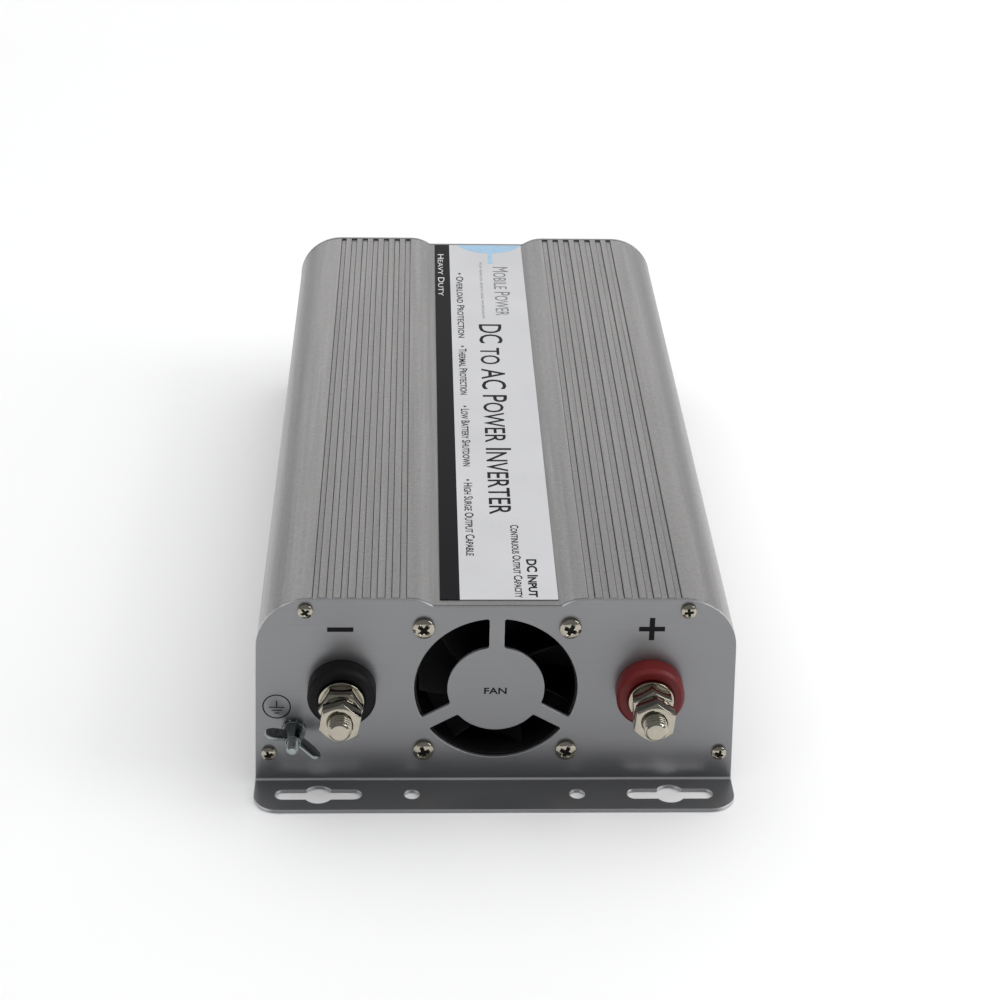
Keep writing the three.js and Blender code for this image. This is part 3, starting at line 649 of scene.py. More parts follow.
def lens(name, color):
    """A clear tinted lamp lens."""
    made = Finish(name, color, 0.0, 0.12, IOR=1.49, Transmission_Weight=0.55)
    grain, patch = made.grain(900.0, 200.0)
    tone = made.blend(patch, 0.3, color, shade(color, 0.7))
    made.look(tone, made.spread(grain, 0.08, 0.2))
    return made.material


def shade(color, amount):
    """A colour made darker or lighter by a factor."""
    return tuple(min(1.0, c * amount) for c in color)


CASE_GREY = (0.46, 0.45, 0.443)
PLATE_GREY = (0.27, 0.272, 0.28)
BAND_RIGHT = -15.3

CASE = blasted_case()
PLATE = satin_plate()
NICKEL = plated("nickel_plate", (0.46, 0.43, 0.355), 0.04, 0.13)
ZINC = plated("zinc_plate", (0.34, 0.38, 0.38), 0.14, 0.3, spots=0.5)
# A near-black finish for the slabs of painted shade in the screws' cross recesses.
RECESS_SHADE = plated("recess_shade", (0.02, 0.019, 0.017), 0.5, 0.65)
MILL = plated("mill_aluminium", (0.62, 0.63, 0.64), 0.3, 0.45)
BLACK = moulded("black_moulded", (0.004, 0.004, 0.0045), 0.5, dust_amount=0.03, Specular_IOR_Level=0.2)
RED = moulded("red_moulded", (0.14, 0.006, 0.007), 0.42, dust_amount=0.08, Specular_IOR_Level=0.35)
FAN_BLACK = moulded("fan_black", (0.004, 0.004, 0.0045), 0.5, dust_amount=0.05, Specular_IOR_Level=0.25)
OUTLET_BLACK = moulded("outlet_black", (0.016, 0.016, 0.017), 0.34, dust_amount=0.15)
LABEL = label_film()
INK_BLACK = ink("ink_black", (0.006, 0.006, 0.007))
INK_WHITE = ink("ink_white", (0.6, 0.6, 0.6))
INK_GREY = ink("ink_grey", (0.16, 0.16, 0.17))
INK_BLUE = ink("ink_blue", (0.3, 0.46, 0.6))
BOARD = circuit_board()
COPPER = wound_copper()
FERRITE = moulded("ferrite_core", (0.06, 0.06, 0.065), 0.6)
SLEEVE = moulded("dark_sleeve", (0.01, 0.012, 0.022), 0.28)
GREEN_LENS = lens("green_lens", (0.1, 0.75, 0.2))
RED_LENS = lens("red_lens", (0.8, 0.06, 0.05))


# ------------------------------------------------------------------ case
SLIT_WIDE, SLIT_DEEP = 0.26, 0.35
OUTER_GROOVE_LESS = 0.4  # the groove next to the shoulder is narrower by this
GROOVE_RADII = [0.17, 0.05, 0.05, 0.08]  # from the groove's edge down the slit and up to the floor


def outline_corners(inset):
    """Corners and corner radii of the right half of the outline across the case, from the base up and in.

    The side leans in so that it just meets the shoulder's arc. The roll into the valley is an arc that
    starts level and ends at the valley's edge.
    """
    shoulder_z = HEIGHT - SHOULDER_R
    run = HALF_BASE - SHOULDER_X
    lean = np.arccos(SHOULDER_R / np.hypot(run, shoulder_z)) - np.arctan2(shoulder_z, run)
    top = HEIGHT - inset
    side = lambda z: HALF_BASE - inset / np.cos(lean) - z * np.tan(lean)
    roll = PLATEAU_IN - VALLEY_HALF
    roll_radius = (roll**2 + VALLEY_DROP**2) / (2 * VALLEY_DROP)
    roll_corner = PLATEAU_IN - roll_radius * np.tan(np.arcsin(roll / roll_radius) / 2)
    return side, top, roll_radius, roll_corner


def half_skin(inset, base, grooved=False):
    """The right half of the case's outline as corners and radii, with the grooves in its flat top if asked.

    A groove's floor ends on each side in a narrow slit, so each wall stands out as a fine line.
    """
    side, top, roll_radius, roll_corner = outline_corners(inset)
    corners = [(side(base), base), (side(top), top)]
    radii = [0.0, SHOULDER_R - inset]
    floor, slit = top - GROOVE_DEEP, top - GROOVE_DEEP - SLIT_DEEP
    for number in range(GROOVE_COUNT if grooved else 0):
        right = SHOULDER_X - 2 * GROOVE_WIDE * number - (OUTER_GROOVE_LESS if number == 0 else 0)
        left = SHOULDER_X - 2 * GROOVE_WIDE * number - GROOVE_WIDE
        corners += [(right, top), (right, slit), (right - SLIT_WIDE, slit), (right - SLIT_WIDE, floor)]
        corners += [(left + SLIT_WIDE, floor), (left + SLIT_WIDE, slit), (left, slit), (left, top)]
        radii += GROOVE_RADII + GROOVE_RADII[::-1]
    corners += [(roll_corner, top), (VALLEY_HALF, top - VALLEY_DROP)]
    radii += [roll_radius, 0.0]
    return np.array(corners), np.array(radii)


def mirrored(corners, radii):
    """Right-hand corners followed by the same ones on the left, in order round the outline."""
    left = corners[::-1] * [-1, 1]
    return np.concatenate([corners, left]), np.concatenate([radii, radii[::-1]])


def make_case():
    """The extrusion: its grooved outer outline, the lips under it, and the wall's inner outline."""
    low, high = box_mm("housing")
    outer, outer_radii = mirrored(*half_skin(SKIN_INSET, low[2], grooved=True))
    inner, inner_radii = mirrored(*half_skin(SKIN_INSET + WALL, LIP_TOP))
    left_lip = [(-LIP_IN, low[2]), (-LIP_IN, LIP_TOP)]
    right_lip = [(LIP_IN, LIP_TOP), (LIP_IN, low[2])]
    corners = np.concatenate([outer, left_lip, inner[::-1], right_lip])
    radii = np.concatenate([outer_radii, [0.2, 0.2], inner_radii[::-1], [0.2, 0.2]])
    radii[0] = radii[len(outer) - 1] = 0.5
    section = round_corners(corners, radii, steps=8)
    points, faces = extrusion(section, low[1], high[1])
    new_piece("case_extrusion", points, faces, CASE, stands_for="housing", slot="case", sharp=50)


def make_base():
    """The base plate: a tray floor that fills the gap between the case's lips."""
    low, high = box_mm("base_plate")
    between_lips = LIP_IN - 0.5
    floor = slab(rectangle(-between_lips, between_lips, low[1], high[1], 1.0), (), 2.4, 0.3, lying(low[2]))
    tongues = slab(rectangle(low[0], high[0], low[1], high[1], 1.0), (), 1.0, 0.15, lying(LIP_TOP + 0.2))
    spots = [(x, y) for x in (-76, 76) for y in (-150, 0, 140)]
    boss_out, boss_bore, boss_tall = 3.0, 1.4, 7.6
    rings = [(circle(x, y, boss_out), [circle(x, y, boss_bore, 24)]) for x, y in spots]
    bosses = [slab(*ring, boss_tall, 0.3, lying(2.2)) for ring in rings]
    part = merge(floor, tongues, *bosses)
    new_piece("base_tray", *part, CASE, stands_for="base_plate", slot="case", even=True)


# ------------------------------------------------------------------ end plates
BEND_MIDDLE = BEND + SHEET / 2
BEND_LONG = BEND_MIDDLE * np.pi / 2
UPRIGHT_FROM = BEND + SHEET  # the upright part starts at this height
FOLD_ROWS = np.linspace(-BEND_LONG, 0, 7)
PLATE_RIM, PLATE_BORDER = 0.22, 0.3
KEY_SLOT_X, KEY_SLOT_LONG, KEY_SLOT_WIDE, KEY_SLOT_EYE = 74.0, 36.4, 6.8, 6.2
FLANGE_CORNER = 11.0
BOLT_HOLE_X, BOLT_HOLE = 34.8, 3.25
SCREW_HOLE, FAN_SCREW_HOLE, STUD_HOLE, EARTH_HOLE, LAMP_HOLE = 1.8, 2.2, 8.2, 2.7, 2.7
GRILLE_IN, GRILLE_OUT, SPOKE, GRILLE_CORNER = 20.2, 34.0, 6.2, 1.0
VENT_COUNT, VENT_STEP, VENT_FROM, VENT_WIDE = 15, 8, -80, 3.2
VENT_LOW, VENT_HIGH = 11.5, 26.5
OUTLETS = ["ac_outlet_1", "ac_outlet_2", "ac_outlet_3"]


def fold(x, s, t):
    """The flat blank folded to an L, in the end's frame.

    s is the distance up the sheet from where the bend ends, and t the depth from its front. The upright
    keeps its depth as y. In the bend the point turns about the bend's centre at a radius of BEND + t.
    The flange runs outwards, flat.
    """
    angle = np.clip(-s / BEND_MIDDLE, 0, np.pi / 2)
    y = np.where(s >= 0, t, -BEND + (BEND + t) * np.cos(angle))
    z = np.where(s >= 0, UPRIGHT_FROM + s, UPRIGHT_FROM - (BEND + t) * np.sin(angle))
    return x, y + np.minimum(s + BEND_LONG, 0), z


def on_dc_end(x, y, z):
    """A point of the DC end's frame on the object."""
    return x, y + DC_FACE, z


def on_ac_end(x, y, z):
    """A point of the AC end's frame on the object: that end is turned half round, so its x runs back."""
    return -x, AC_FACE - y, z


def at_end(part, end, place=(0, 0, 0)):
    """A (points, faces) carried to a place in an end's frame and with it to the object."""
    points, faces = moved(part, place)
    return np.stack(end(*points.T), -1), faces


def depths(node):
    """Where a node of the DC end starts and ends along y in that end's frame."""
    low, high = box_mm(node)
    return low[1] - DC_FACE, high[1] - DC_FACE


def blank_outline():
    """The flat blank: the case's outline above the bend and a flange with round corners below it."""
    side, top, roll_radius, roll_corner = outline_corners(0.0)
    flange_end = -BEND_LONG - (FLANGE - BEND)
    corners = [(HALF_BASE, flange_end)] + [(side(max(0.0, UPRIGHT_FROM + row)), row) for row in FOLD_ROWS]
    corners += [(side(top), up(top)), (roll_corner, up(top)), (VALLEY_HALF, up(top - VALLEY_DROP))]
    radii = [FLANGE_CORNER] + [0.0] * len(FOLD_ROWS) + [SHOULDER_R, roll_radius, 0.0]
    return round_corners(*mirrored(np.array(corners), np.array(radii)), steps=14)


def up(z):
    """A height on the upright part as a distance along the blank."""
    return z - UPRIGHT_FROM


def keyhole(x, y, long, wide, eye):
    """A slot with half-round ends and a round eye in its middle."""
    half, r = long / 2 - wide / 2, wide / 2
    neck = math.asin(r / eye)
    end = np.linspace(-np.pi / 2, np.pi / 2, 15)
    top = np.linspace(neck, np.pi - neck, 19)
    right = np.stack([half + r * np.cos(end), r * np.sin(end)], -1)
    arch = np.stack([eye * np.cos(top), eye * np.sin(top)], -1)
    return np.concatenate([right, arch, -right, -arch]) + [x, y]


def grille_window(middle):
    """One of the fan opening's three windows: a stretch of ring between two spokes, with round corners."""
    out_half, in_half = (np.pi / 3 - math.asin(SPOKE / 2 / radius) for radius in (GRILLE_OUT, GRILLE_IN))
    back_off = 1.4 * GRILLE_CORNER
    out_reach, in_reach = out_half - back_off / GRILLE_OUT, in_half - back_off / GRILLE_IN
    out_arc = [-out_half, *np.linspace(-out_reach, out_reach, 40), out_half]
    in_arc = [in_half, *np.linspace(in_reach, -in_reach, 26), -in_half]
    angle = np.array(out_arc + in_arc) + middle
    radius = np.repeat([GRILLE_OUT, GRILLE_IN], [len(out_arc), len(in_arc)])
    radii = np.zeros(len(angle))
    radii[[0, len(out_arc) - 1, len(out_arc), -1]] = GRILLE_CORNER
    loop = np.stack([radius * np.cos(angle), up(FAN_Z) + radius * np.sin(angle)], -1)
    return round_corners(loop, radii, steps=6)


def cutout(node, wide, tall, radius):
    """A rectangular hole in the AC plate round a fitting's middle."""
    x, _, z = middle_mm(node)
    return rectangle(-x - wide / 2, -x + wide / 2, up(z - tall / 2), up(z + tall / 2), radius)


def make_plate(name, holes, end, node):
    """One end plate: the flat blank, folded, with the holes both ends share and its own."""
    flange_middle = -BEND_LONG + (-FLANGE / 2 + BEND)
    shared = []
    for side in (-1, 1):
        shared.append(keyhole(side * KEY_SLOT_X, flange_middle, KEY_SLOT_LONG, KEY_SLOT_WIDE, KEY_SLOT_EYE))
        shared.append(circle(side * BOLT_HOLE_X, flange_middle, BOLT_HOLE))
    shared += [circle(x, up(z), SCREW_HOLE, 24) for x, z in PLATE_SCREWS]
    part = slab(blank_outline(), shared + holes, SHEET, PLATE_RIM, fold, FOLD_ROWS, border=PLATE_BORDER)
    new_piece(name, *at_end(part, end), PLATE, stands_for=node, slot="plate", even=True)


def make_plates():
    """The DC plate with its fan windows, fan screws and studs, and the AC plate with vents and fittings."""
    holes = [grille_window(angle) for angle in (np.pi / 6, 5 * np.pi / 6, -np.pi / 2)]
    holes += [circle(x, up(FAN_Z + z), FAN_SCREW_HOLE, 24) for x, z in FAN_SPOTS]
    holes += [circle(x, up(STUD_Z), STUD_HOLE) for x in (-STUD_X, STUD_X)]
    x, _, z = middle_mm("earth_stud")
    holes.append(circle(x, up(z), EARTH_HOLE, 24))
    make_plate("dc_plate_sheet", holes, on_dc_end, "dc_end_plate")
    vents = [VENT_FROM + VENT_STEP * number for number in range(VENT_COUNT)]
    half = VENT_WIDE / 2
    holes = [rectangle(x - half, x + half, up(VENT_LOW), up(VENT_HIGH), half - 0.01) for x in vents]
    holes += [cutout(node, 25.4, 31.4, 3.0) for node in OUTLETS]
    holes += [cutout("switch_housing", 17.4, 22.4, 0.3), cutout("remote_jack", 15.4, 13.4, 0.3)]
    for node in ("power_led", "fault_led"):
        x, _, z = middle_mm(node)
        holes.append(circle(-x, up(z), LAMP_HOLE, 32))
    make_plate("ac_plate_sheet", holes, on_ac_end, "ac_end_plate")


# ------------------------------------------------------------------ fasteners
def cross_outline(angle, half_width, reach):
    """Distance from the middle to the edge of a cross with four arms, in each direction.

    Along an arm the edge is a circle of radius reach; beside it the arm's straight flank, half_width off
    the arm's middle line.
    """
    off = np.abs((angle + np.pi / 4) % (np.pi / 2) - np.pi / 4)
    return np.minimum(reach, half_width / np.maximum(np.sin(off), 1e-6))


def cross_directions(head_radius):
    """The directions round a head, close together at the arms' corners, and the cross's edge in each."""
    arm = math.atan(0.2 / 0.62)
    eighth = np.concatenate([np.linspace(0, arm, 3)[:-1], np.linspace(arm, np.pi / 4, 4)[:-1]])
    quadrant = np.concatenate([eighth, [np.pi / 4], np.pi / 2 - eighth[:0:-1]])
    angle = (quadrant[None] + np.arange(4)[:, None] * np.pi / 2).ravel()
    return angle, cross_outline(angle, 0.19 * head_radius, 0.6 * head_radius)


def recess_shade_cross(head_radius, head_out, turn):
    """A near-black slab of painted shade in a head's cross recess: the cross a little smaller, part of the
    way down.
    """
    angle, cross = cross_directions(head_radius)
    loop = np.stack([0.86 * cross * np.sin(angle + turn), 0.86 * cross * np.cos(angle + turn)], -1)
    front = 0.24 * head_out - head_out - 0.1
    return slab(loop, (), 0.1 * head_out, 0.02, standing(front), rim_steps=2)


def pan_head(head_radius, head_out, shank_radius, shank_in, turn):
    """A pan-head screw with a cross recess, in the end's frame, its middle on the axis.

    Rows run from the recess's bottom up its tapered wall to the cross's outline, on over the domed top,
    whose height falls as the cube of the radius, and round the rim to the shank.
    """
    angle, cross = cross_directions(head_radius)
    recess = ((0.0, 0.62), (0.42, 0.6), (0.74, 0.55), (0.93, 0.06), (0.98, 0.01))
    rows = [(cross * share, depth * head_out) for share, depth in recess]
    for share in np.linspace(0.06, 1.0, 9):
        radius = cross * 1.03 + (0.9 * head_radius - cross * 1.03) * share
        rows.append((radius, 0.42 * head_out * (radius / head_radius) ** 3))
    for bend in np.linspace(0.2, 1.0, 5) * np.pi / 2:
        radius = head_radius * (0.9 + 0.1 * math.sin(bend))
        rows.append((radius, 0.42 * 0.73 * head_out + 0.3 * head_out * (1 - math.cos(bend))))
    end = head_out + shank_in
    rows += [(head_radius, head_out), (shank_radius, head_out), (shank_radius, end), (0.0, end)]
    points, faces = turned_rows(rows, angle, turn)
    return points - [0, head_out + 0.1, 0], faces


# head radius, how far it stands out, shank radius and how far the shank goes in
SMALL_SCREW = (3.2, 2.2, 1.5, 12.0)
FAN_SCREW = (4.6, 2.6, 1.9, 16.0)


def make_screws():
    """Four small screws at each end and the fan's four larger ones, each turned its own way, with a dark slab
    of painted shade in each cross recess.
    """
    recess_shades = []
    fan_spots = [(x, FAN_Z + z) for x, z in FAN_SPOTS]
    for label, spots, end, screw in (
        ("dc_plate", PLATE_SCREWS, on_dc_end, SMALL_SCREW),
        ("ac_plate", PLATE_SCREWS, on_ac_end, SMALL_SCREW),
        ("fan", fan_spots, on_dc_end, FAN_SCREW),
    ):
        for number, (x, z) in enumerate(spots, 1):
            turn = RANDOM.uniform(0, np.pi / 2)
            head = at_end(pan_head(*screw, turn), end, (x, 0, z))
            recess_shades.append(at_end(recess_shade_cross(*screw[:2], turn), end, (x, 0, z)))
            name, node = f"{label}_pan_screw_{number}", f"{label}_screw_{number}"
            new_piece(name, *head, NICKEL, stands_for=node, slot="nickel")
    # One piece of painted shade: the dark slabs in all the cross recesses.
    new_piece("screw_recess_painted_shade", *merge(*recess_shades), RECESS_SHADE, slot="nickel")


def thread_radius(angle, y, crest, pitch):
    """Radius of a right-hand thread about Y: flat crests and roots joined by straight flanks.

    How far a point lies from a crest is the fractional part of y / pitch less the share of a turn.
    """
    share = (y / pitch - angle / TURN) % 1.0
    flank = np.clip((np.abs(2 * share - 1) - 0.22) / 0.6, 0, 1)
    return crest - 0.61 * pitch * (1 - flank)


def threaded_rod(crest, pitch, tip, root, chamfer, segments=48):
    """A threaded stud from its flat tip to y = root; from the tip its radius grows by 0.9 of the depth."""
    angle = np.arange(segments) * TURN / segments
    core, start = crest - chamfer, tip + 0.06
    depth = np.arange(start, root, pitch / 10)
    rows = [(radius, tip) for radius in (0.0, core * 0.55, core - 0.15)]
    rows += [(np.minimum(thread_radius(angle, y, crest, pitch), core + (y - start) * 0.9), y) for y in depth]
    return turned_rows([*rows, (0.0, depth[-1])], angle, 0.0)


def hex_radius(angle, apothem):
    """Radius of a hexagon with slightly soft corners: the p-norm of the six faces' distances, p = 90."""
    faces = np.arange(6) * TURN / 6 + TURN / 12
    nearness = np.maximum(np.cos(angle[:, None] - faces[None]), 0) / apothem
    return (nearness**90).sum(1) ** (-1 / 90)


def nut(front, back, flats, crest, pitch, turn):
    """A chamfered hexagon nut with a threaded bore, in the stud's frame, its corners at turn.

    The bore's thread is the stud's own with a little clearance, so the two stay in step as the nut
    winds along. Rows run out from the bore over the front, down the flats and back over the rear face.
    """
    apothem = flats / 2
    near = np.linspace(0, 1, 9)[:-1] ** 1.6 * (TURN / 12)
    sixth = np.concatenate([near, [TURN / 12], TURN / 6 - near[:0:-1]])
    angle = (sixth[None] + np.arange(6)[:, None] * TURN / 6).ravel()
    hexagon = hex_radius(angle, apothem)
    rim = apothem * 0.955
    soft = 0.12
    drop = lambda radius: np.maximum(radius - rim, 0) * math.tan(math.radians(30))
    bore_y = np.arange(front + 0.5, back - 0.5, pitch / 8)
    rows = [(thread_radius(angle + turn, y, crest + 0.14, pitch), y) for y in bore_y[::-1]]
    chamfer = [(crest + 0.5, 0.0), (rim, 0.0)]
    chamfer += [(radius, drop(radius)) for radius in ((rim + hexagon) / 2, hexagon - soft)]
    chamfer.append((hexagon, drop(hexagon) + soft))
    rows += [(radius, front + depth) for radius, depth in chamfer]
    rows += [(radius, back - depth) for radius, depth in chamfer[::-1]]
    return turned_rows(rows, angle, turn, wrap_rows=True)


def soft_ring(inner, outer, front, back, edge):
    """A flat washer with rounded edges."""
    return lathe(round_corners([(inner, front), (outer, front), (outer, back), (inner, back)], edge, 4), 72)


def split_washer(inner, outer, front, back, segments=90):
    """A spring lock washer: a square wire bent to one turn, its two ends a little apart."""
    share = np.linspace(0, 1, segments)
    angle = 0.12 + share * (TURN - 0.2)
    section = round_corners([(inner, 0), (outer, 0), (outer, 1), (inner, 1)], 0.08, 3)
    thick = (back - front) * 0.86
    lift = (back - front - thick) * share
    radius = np.broadcast_to(section[:, 0], (segments, len(section)))
    y = front + lift[:, None] + section[None, :, 1] * thick
    points = np.stack([radius * np.sin(angle)[:, None], y, radius * np.cos(angle)[:, None]], -1)
    points = points.reshape(-1, 3)
    count = len(section)
    faces = grid_faces(segments, count, wrap_columns=True).tolist()
    faces += [list(range(count)), list(range(segments * count - 1, (segments - 1) * count - 1, -1))]
    return points, faces


def insulator(outer, front, back):
    """A moulded collar: a soft front edge, a shallow seat for the washer and a sleeve into the plate."""
    bore, seat, seat_deep, sleeve, off_plate = 5.1, 9.7, 0.5, 7.9, -0.1
    corners = [
        (bore, front + seat_deep), (seat, front + seat_deep), (seat + 0.2, front), (outer - 1.3, front),
        (outer, front + 1.5), (outer, off_plate), (sleeve, off_plate), (sleeve, back), (bore, back),
    ]
    return lathe(round_corners(corners, [0.1, 0.1, 0.15, 0.9, 0.8, 0.3, 0, 0.2, 0.2], 6), 96)


COLLAR_OUT, STUD_HEAD, NUT_FLATS = 14.15, 6.0, 16.0


def add_cable_stud(sign, side, colour, slot, nut_turns):
    """One battery stud with everything on it, in the DC end's frame."""

    def put(label, node, part, material=NICKEL, body="root", slot_name="nickel", sharp=38):
        """A piece set on the stud's axis."""
        part = at_end(part, on_dc_end, (side * STUD_X, 0, STUD_Z))
        new_piece(f"{sign}_{label}", *part, material, body=body, stands_for=node, slot=slot_name, sharp=sharp)

    kinds = ("insulator", "stud", "flat_washer", "clamp_nut", "cable_nut", "lock_washer")
    collar, stud, washer, clamp, cable, lock = (f"{sign}_{kind}" for kind in kinds)
    put("collar", collar, insulator(COLLAR_OUT, *depths(collar)), colour, slot_name=slot, sharp=50)
    tip, root = depths(stud)
    head_from = root - STUD_HEAD
    rod = threaded_rod(CREST_M10, THREAD_M10, tip, head_from + 0.5, 1.3)
    head = slab(circle(0, 0, 9.0, 6, np.pi / 6), (), STUD_HEAD, 0.4, standing(head_from))
    put("threaded_stud", stud, merge(rod, head), sharp=60)
    put("plain_washer", washer, soft_ring(5.2, 9.4, *depths(washer), 0.3))
    inner_turn, outer_turn = (math.radians(turn) for turn in nut_turns)
    threads = NUT_FLATS, CREST_M10, THREAD_M10
    put("inner_nut", clamp, nut(*depths(clamp), *threads, inner_turn), sharp=42)
    put("outer_nut", cable, nut(*depths(cable), *threads, outer_turn), body=cable, sharp=42)
    put("spring_washer", lock, split_washer(5.3, 7.8, *depths(lock)), body=lock)


def tooth_washer(front, back):
    """A toothed lock washer: a flat ring with ten teeth, tipped by the sine of ten times the angle."""
    radius = np.tile([5.0, 5.0, 3.9, 3.9], 10)
    angle = np.repeat(np.arange(20) * TURN / 20, 2) + np.tile([-0.55, 0.55, -0.4, 0.4], 10) / radius
    corners = np.stack([radius * np.cos(angle), radius * np.sin(angle)], -1)
    thick = 0.5
    middle = (front + back - thick) / 2

    def twisted(a, b, t):
        """Upright, and tipped more the further out a point lies on its tooth."""
        return a, middle + t + np.sin(10 * np.arctan2(b, a)) * np.clip(np.hypot(a, b) - 3.6, 0, 1.4) * 0.28, b

    return slab(corners, [circle(0, 0, 2.65, 40)], thick, 0.06, twisted, rim_steps=3)


def wing_nut(back, crest):
    """A pressed wing nut: a conical hub and two blades that lean out and forward."""
    hub_front = -10.6
    hub_profile = [
        (crest + 0.25, back - 0.3), (crest + 0.7, back), (4.7, back), (4.7, back - 1.0), (3.15, hub_front),
        (crest + 0.5, hub_front), (crest + 0.2, hub_front + 0.3),
    ]
    hub = lathe(round_corners(hub_profile, [0, 0.1, 0.3, 0.6, 0.35, 0.1, 0], 5), 64)
    wing = [(2.7, -3.9), (9.6, -7.0), (13.3, -10.6), (11.6, -15.6), (6.2, -12.6), (2.7, -9.8)]
    loop = round_corners(wing, [0.6, 5.0, 3.2, 2.6, 4.0, 0.6], 9)

    def blade(side):
        """A blade out to one side, thicker at the hub."""
        swell = lambda a: side * (0.8 + 0.25 * np.clip((5 - a) / 2.5, 0, 1))
        return slab(loop, (), 2.0, 0.45, lambda a, b, t: (side * a, b, (t - 1.0) * swell(a)))

    return merge(hub, blade(1), blade(-1))


def make_earth_stud():
    """The earth stud with its toothed washer, flat washer and wing nut."""
    x, _, z = middle_mm("earth_stud")

    def put(name, part, node, body="root", sharp=38):
        """A piece set on the stud's axis."""
        part = at_end(part, on_dc_end, (x, 0, z))
        new_piece(name, *part, ZINC, body=body, stands_for=node, slot="zinc", sharp=sharp)

    tip, root = depths("earth_stud")
    rod = threaded_rod(CREST_M5, THREAD_M5, tip, SHEET + 0.4, 0.7, 40)
    head_from, head_radius = SHEET + 0.2, 4.4
    profile = [(0, head_from), (head_radius, head_from), (head_radius, root), (0, root)]
    head = lathe(round_corners(profile, [0, 0.3, 0.3, 0], 4), 48)
    put("earth_threaded_stud", merge(rod, head), "earth_stud", sharp=60)
    put("earth_star_washer", tooth_washer(*depths("earth_tooth_washer")), "earth_tooth_washer")
    ring = soft_ring(2.75, 4.9, *depths("earth_flat_washer"), 0.2)
    put("earth_plain_washer", ring, "earth_flat_washer", body="earth_washer")
    part = turned_about_y(wing_nut(depths("wing_nut")[1], CREST_M5), math.radians(29))
    put("earth_wing_nut", part, "wing_nut", body="wing_nut", sharp=50)


# ------------------------------------------------------------------ printed marks
PRINT_THICK, PRINT_RIM = 0.04, 0.005
LETTER_THICK = 0.03


def printed(name, loops, holes=()):
    """Ink on the DC plate: flat closed shapes that stand a hair proud of it, the holes in the first."""
    proud = standing(-PRINT_THICK - PRINT_RIM)
    parts = [slab(loop, (), PRINT_THICK, PRINT_RIM, proud, rim_steps=2) for loop in loops[1:]]
    parts.insert(0, slab(loops[0], holes, PRINT_THICK, PRINT_RIM, proud, rim_steps=2))
    new_piece(name, *at_end(merge(*parts), on_dc_end), INK_BLACK)


def make_marks():
    """A minus, a plus and an earth sign."""
    printed("minus_mark", [rectangle(-69.5, -58.8, 74.9, 77.0)])
    arm, bar = 5.35, 1.1
    quarter = np.array([(-arm, -bar), (-bar, -bar), (-bar, -arm)])
    plus = np.concatenate([quarter, quarter[::-1] * [-1, 1], -quarter, quarter[::-1] * [1, -1]])
    printed("plus_mark", [plus + [63.6, 76.2]])
    x, z = -91.1, 38.5
    bars = [
        rectangle(x - half, x + half, z + low - 0.22, z + low + 0.22)
        for half, low in ((3.2, -0.35), (2.15, -1.85), (1.05, -3.2))
    ]
    stem = rectangle(x - 0.25, x + 0.25, z - 0.1, z + 2.9)
    printed("earth_mark", [circle(x, z, 5.95, 72), *bars, stem], holes=[circle(x, z, 5.4, 72)])


def lettering(name, text, place, material, length, tall, bold):
    """Generic words as thin solid letters in small capitals, fitted to a length and a height.

    place turns the text's own x right, y up and z out to the object.
    """
    words = bpy.data.curves.new(name, "FONT")
    words.body = text
    words.small_caps_scale = 0.82
    words.offset = bold
    words.extrude = 0.5
    words.resolution_u = 3
    for letter in words.body_format:
        letter.use_small_caps = True
    source = bpy.data.objects.new(name + "_words", words)
    bpy.context.collection.objects.link(source)
    bpy.context.view_layer.update()
    mesh = bpy.data.meshes.new_from_object(source.evaluated_get(bpy.context.evaluated_depsgraph_get()))
    bpy.data.objects.remove(source)
    points = np.empty(len(mesh.vertices) * 3)
    mesh.vertices.foreach_get("co", points)
    points = points.reshape(-1, 3)
    low, high = points.min(0), points.max(0)
    points = (points - low) / (high - low) * [length * MM, tall * MM, LETTER_THICK * MM]
    mesh.vertices.foreach_set("co", points.ravel())
    mesh.transform(place)
    mesh.materials.clear()
    mesh.materials.append(material)
    mesh.name = name
    working = bmesh.new()
    working.from_mesh(mesh)
    bmesh.ops.remove_doubles(working, verts=working.verts, dist=1e-7)
    face_outwards(working)
    working.to_mesh(mesh)
    working.free()
    add_object(name, mesh, "root", None)


def placing(origin, right, upward):
    """A matrix that sets text at an origin in millimetres, its baseline along right and its tops upward."""
    right, upward = Vector(right), Vector(upward)
    turn = Matrix((right, upward, right.cross(upward))).transposed().to_4x4()
    return Matrix.Translation(Vector(origin) * MM) @ turn


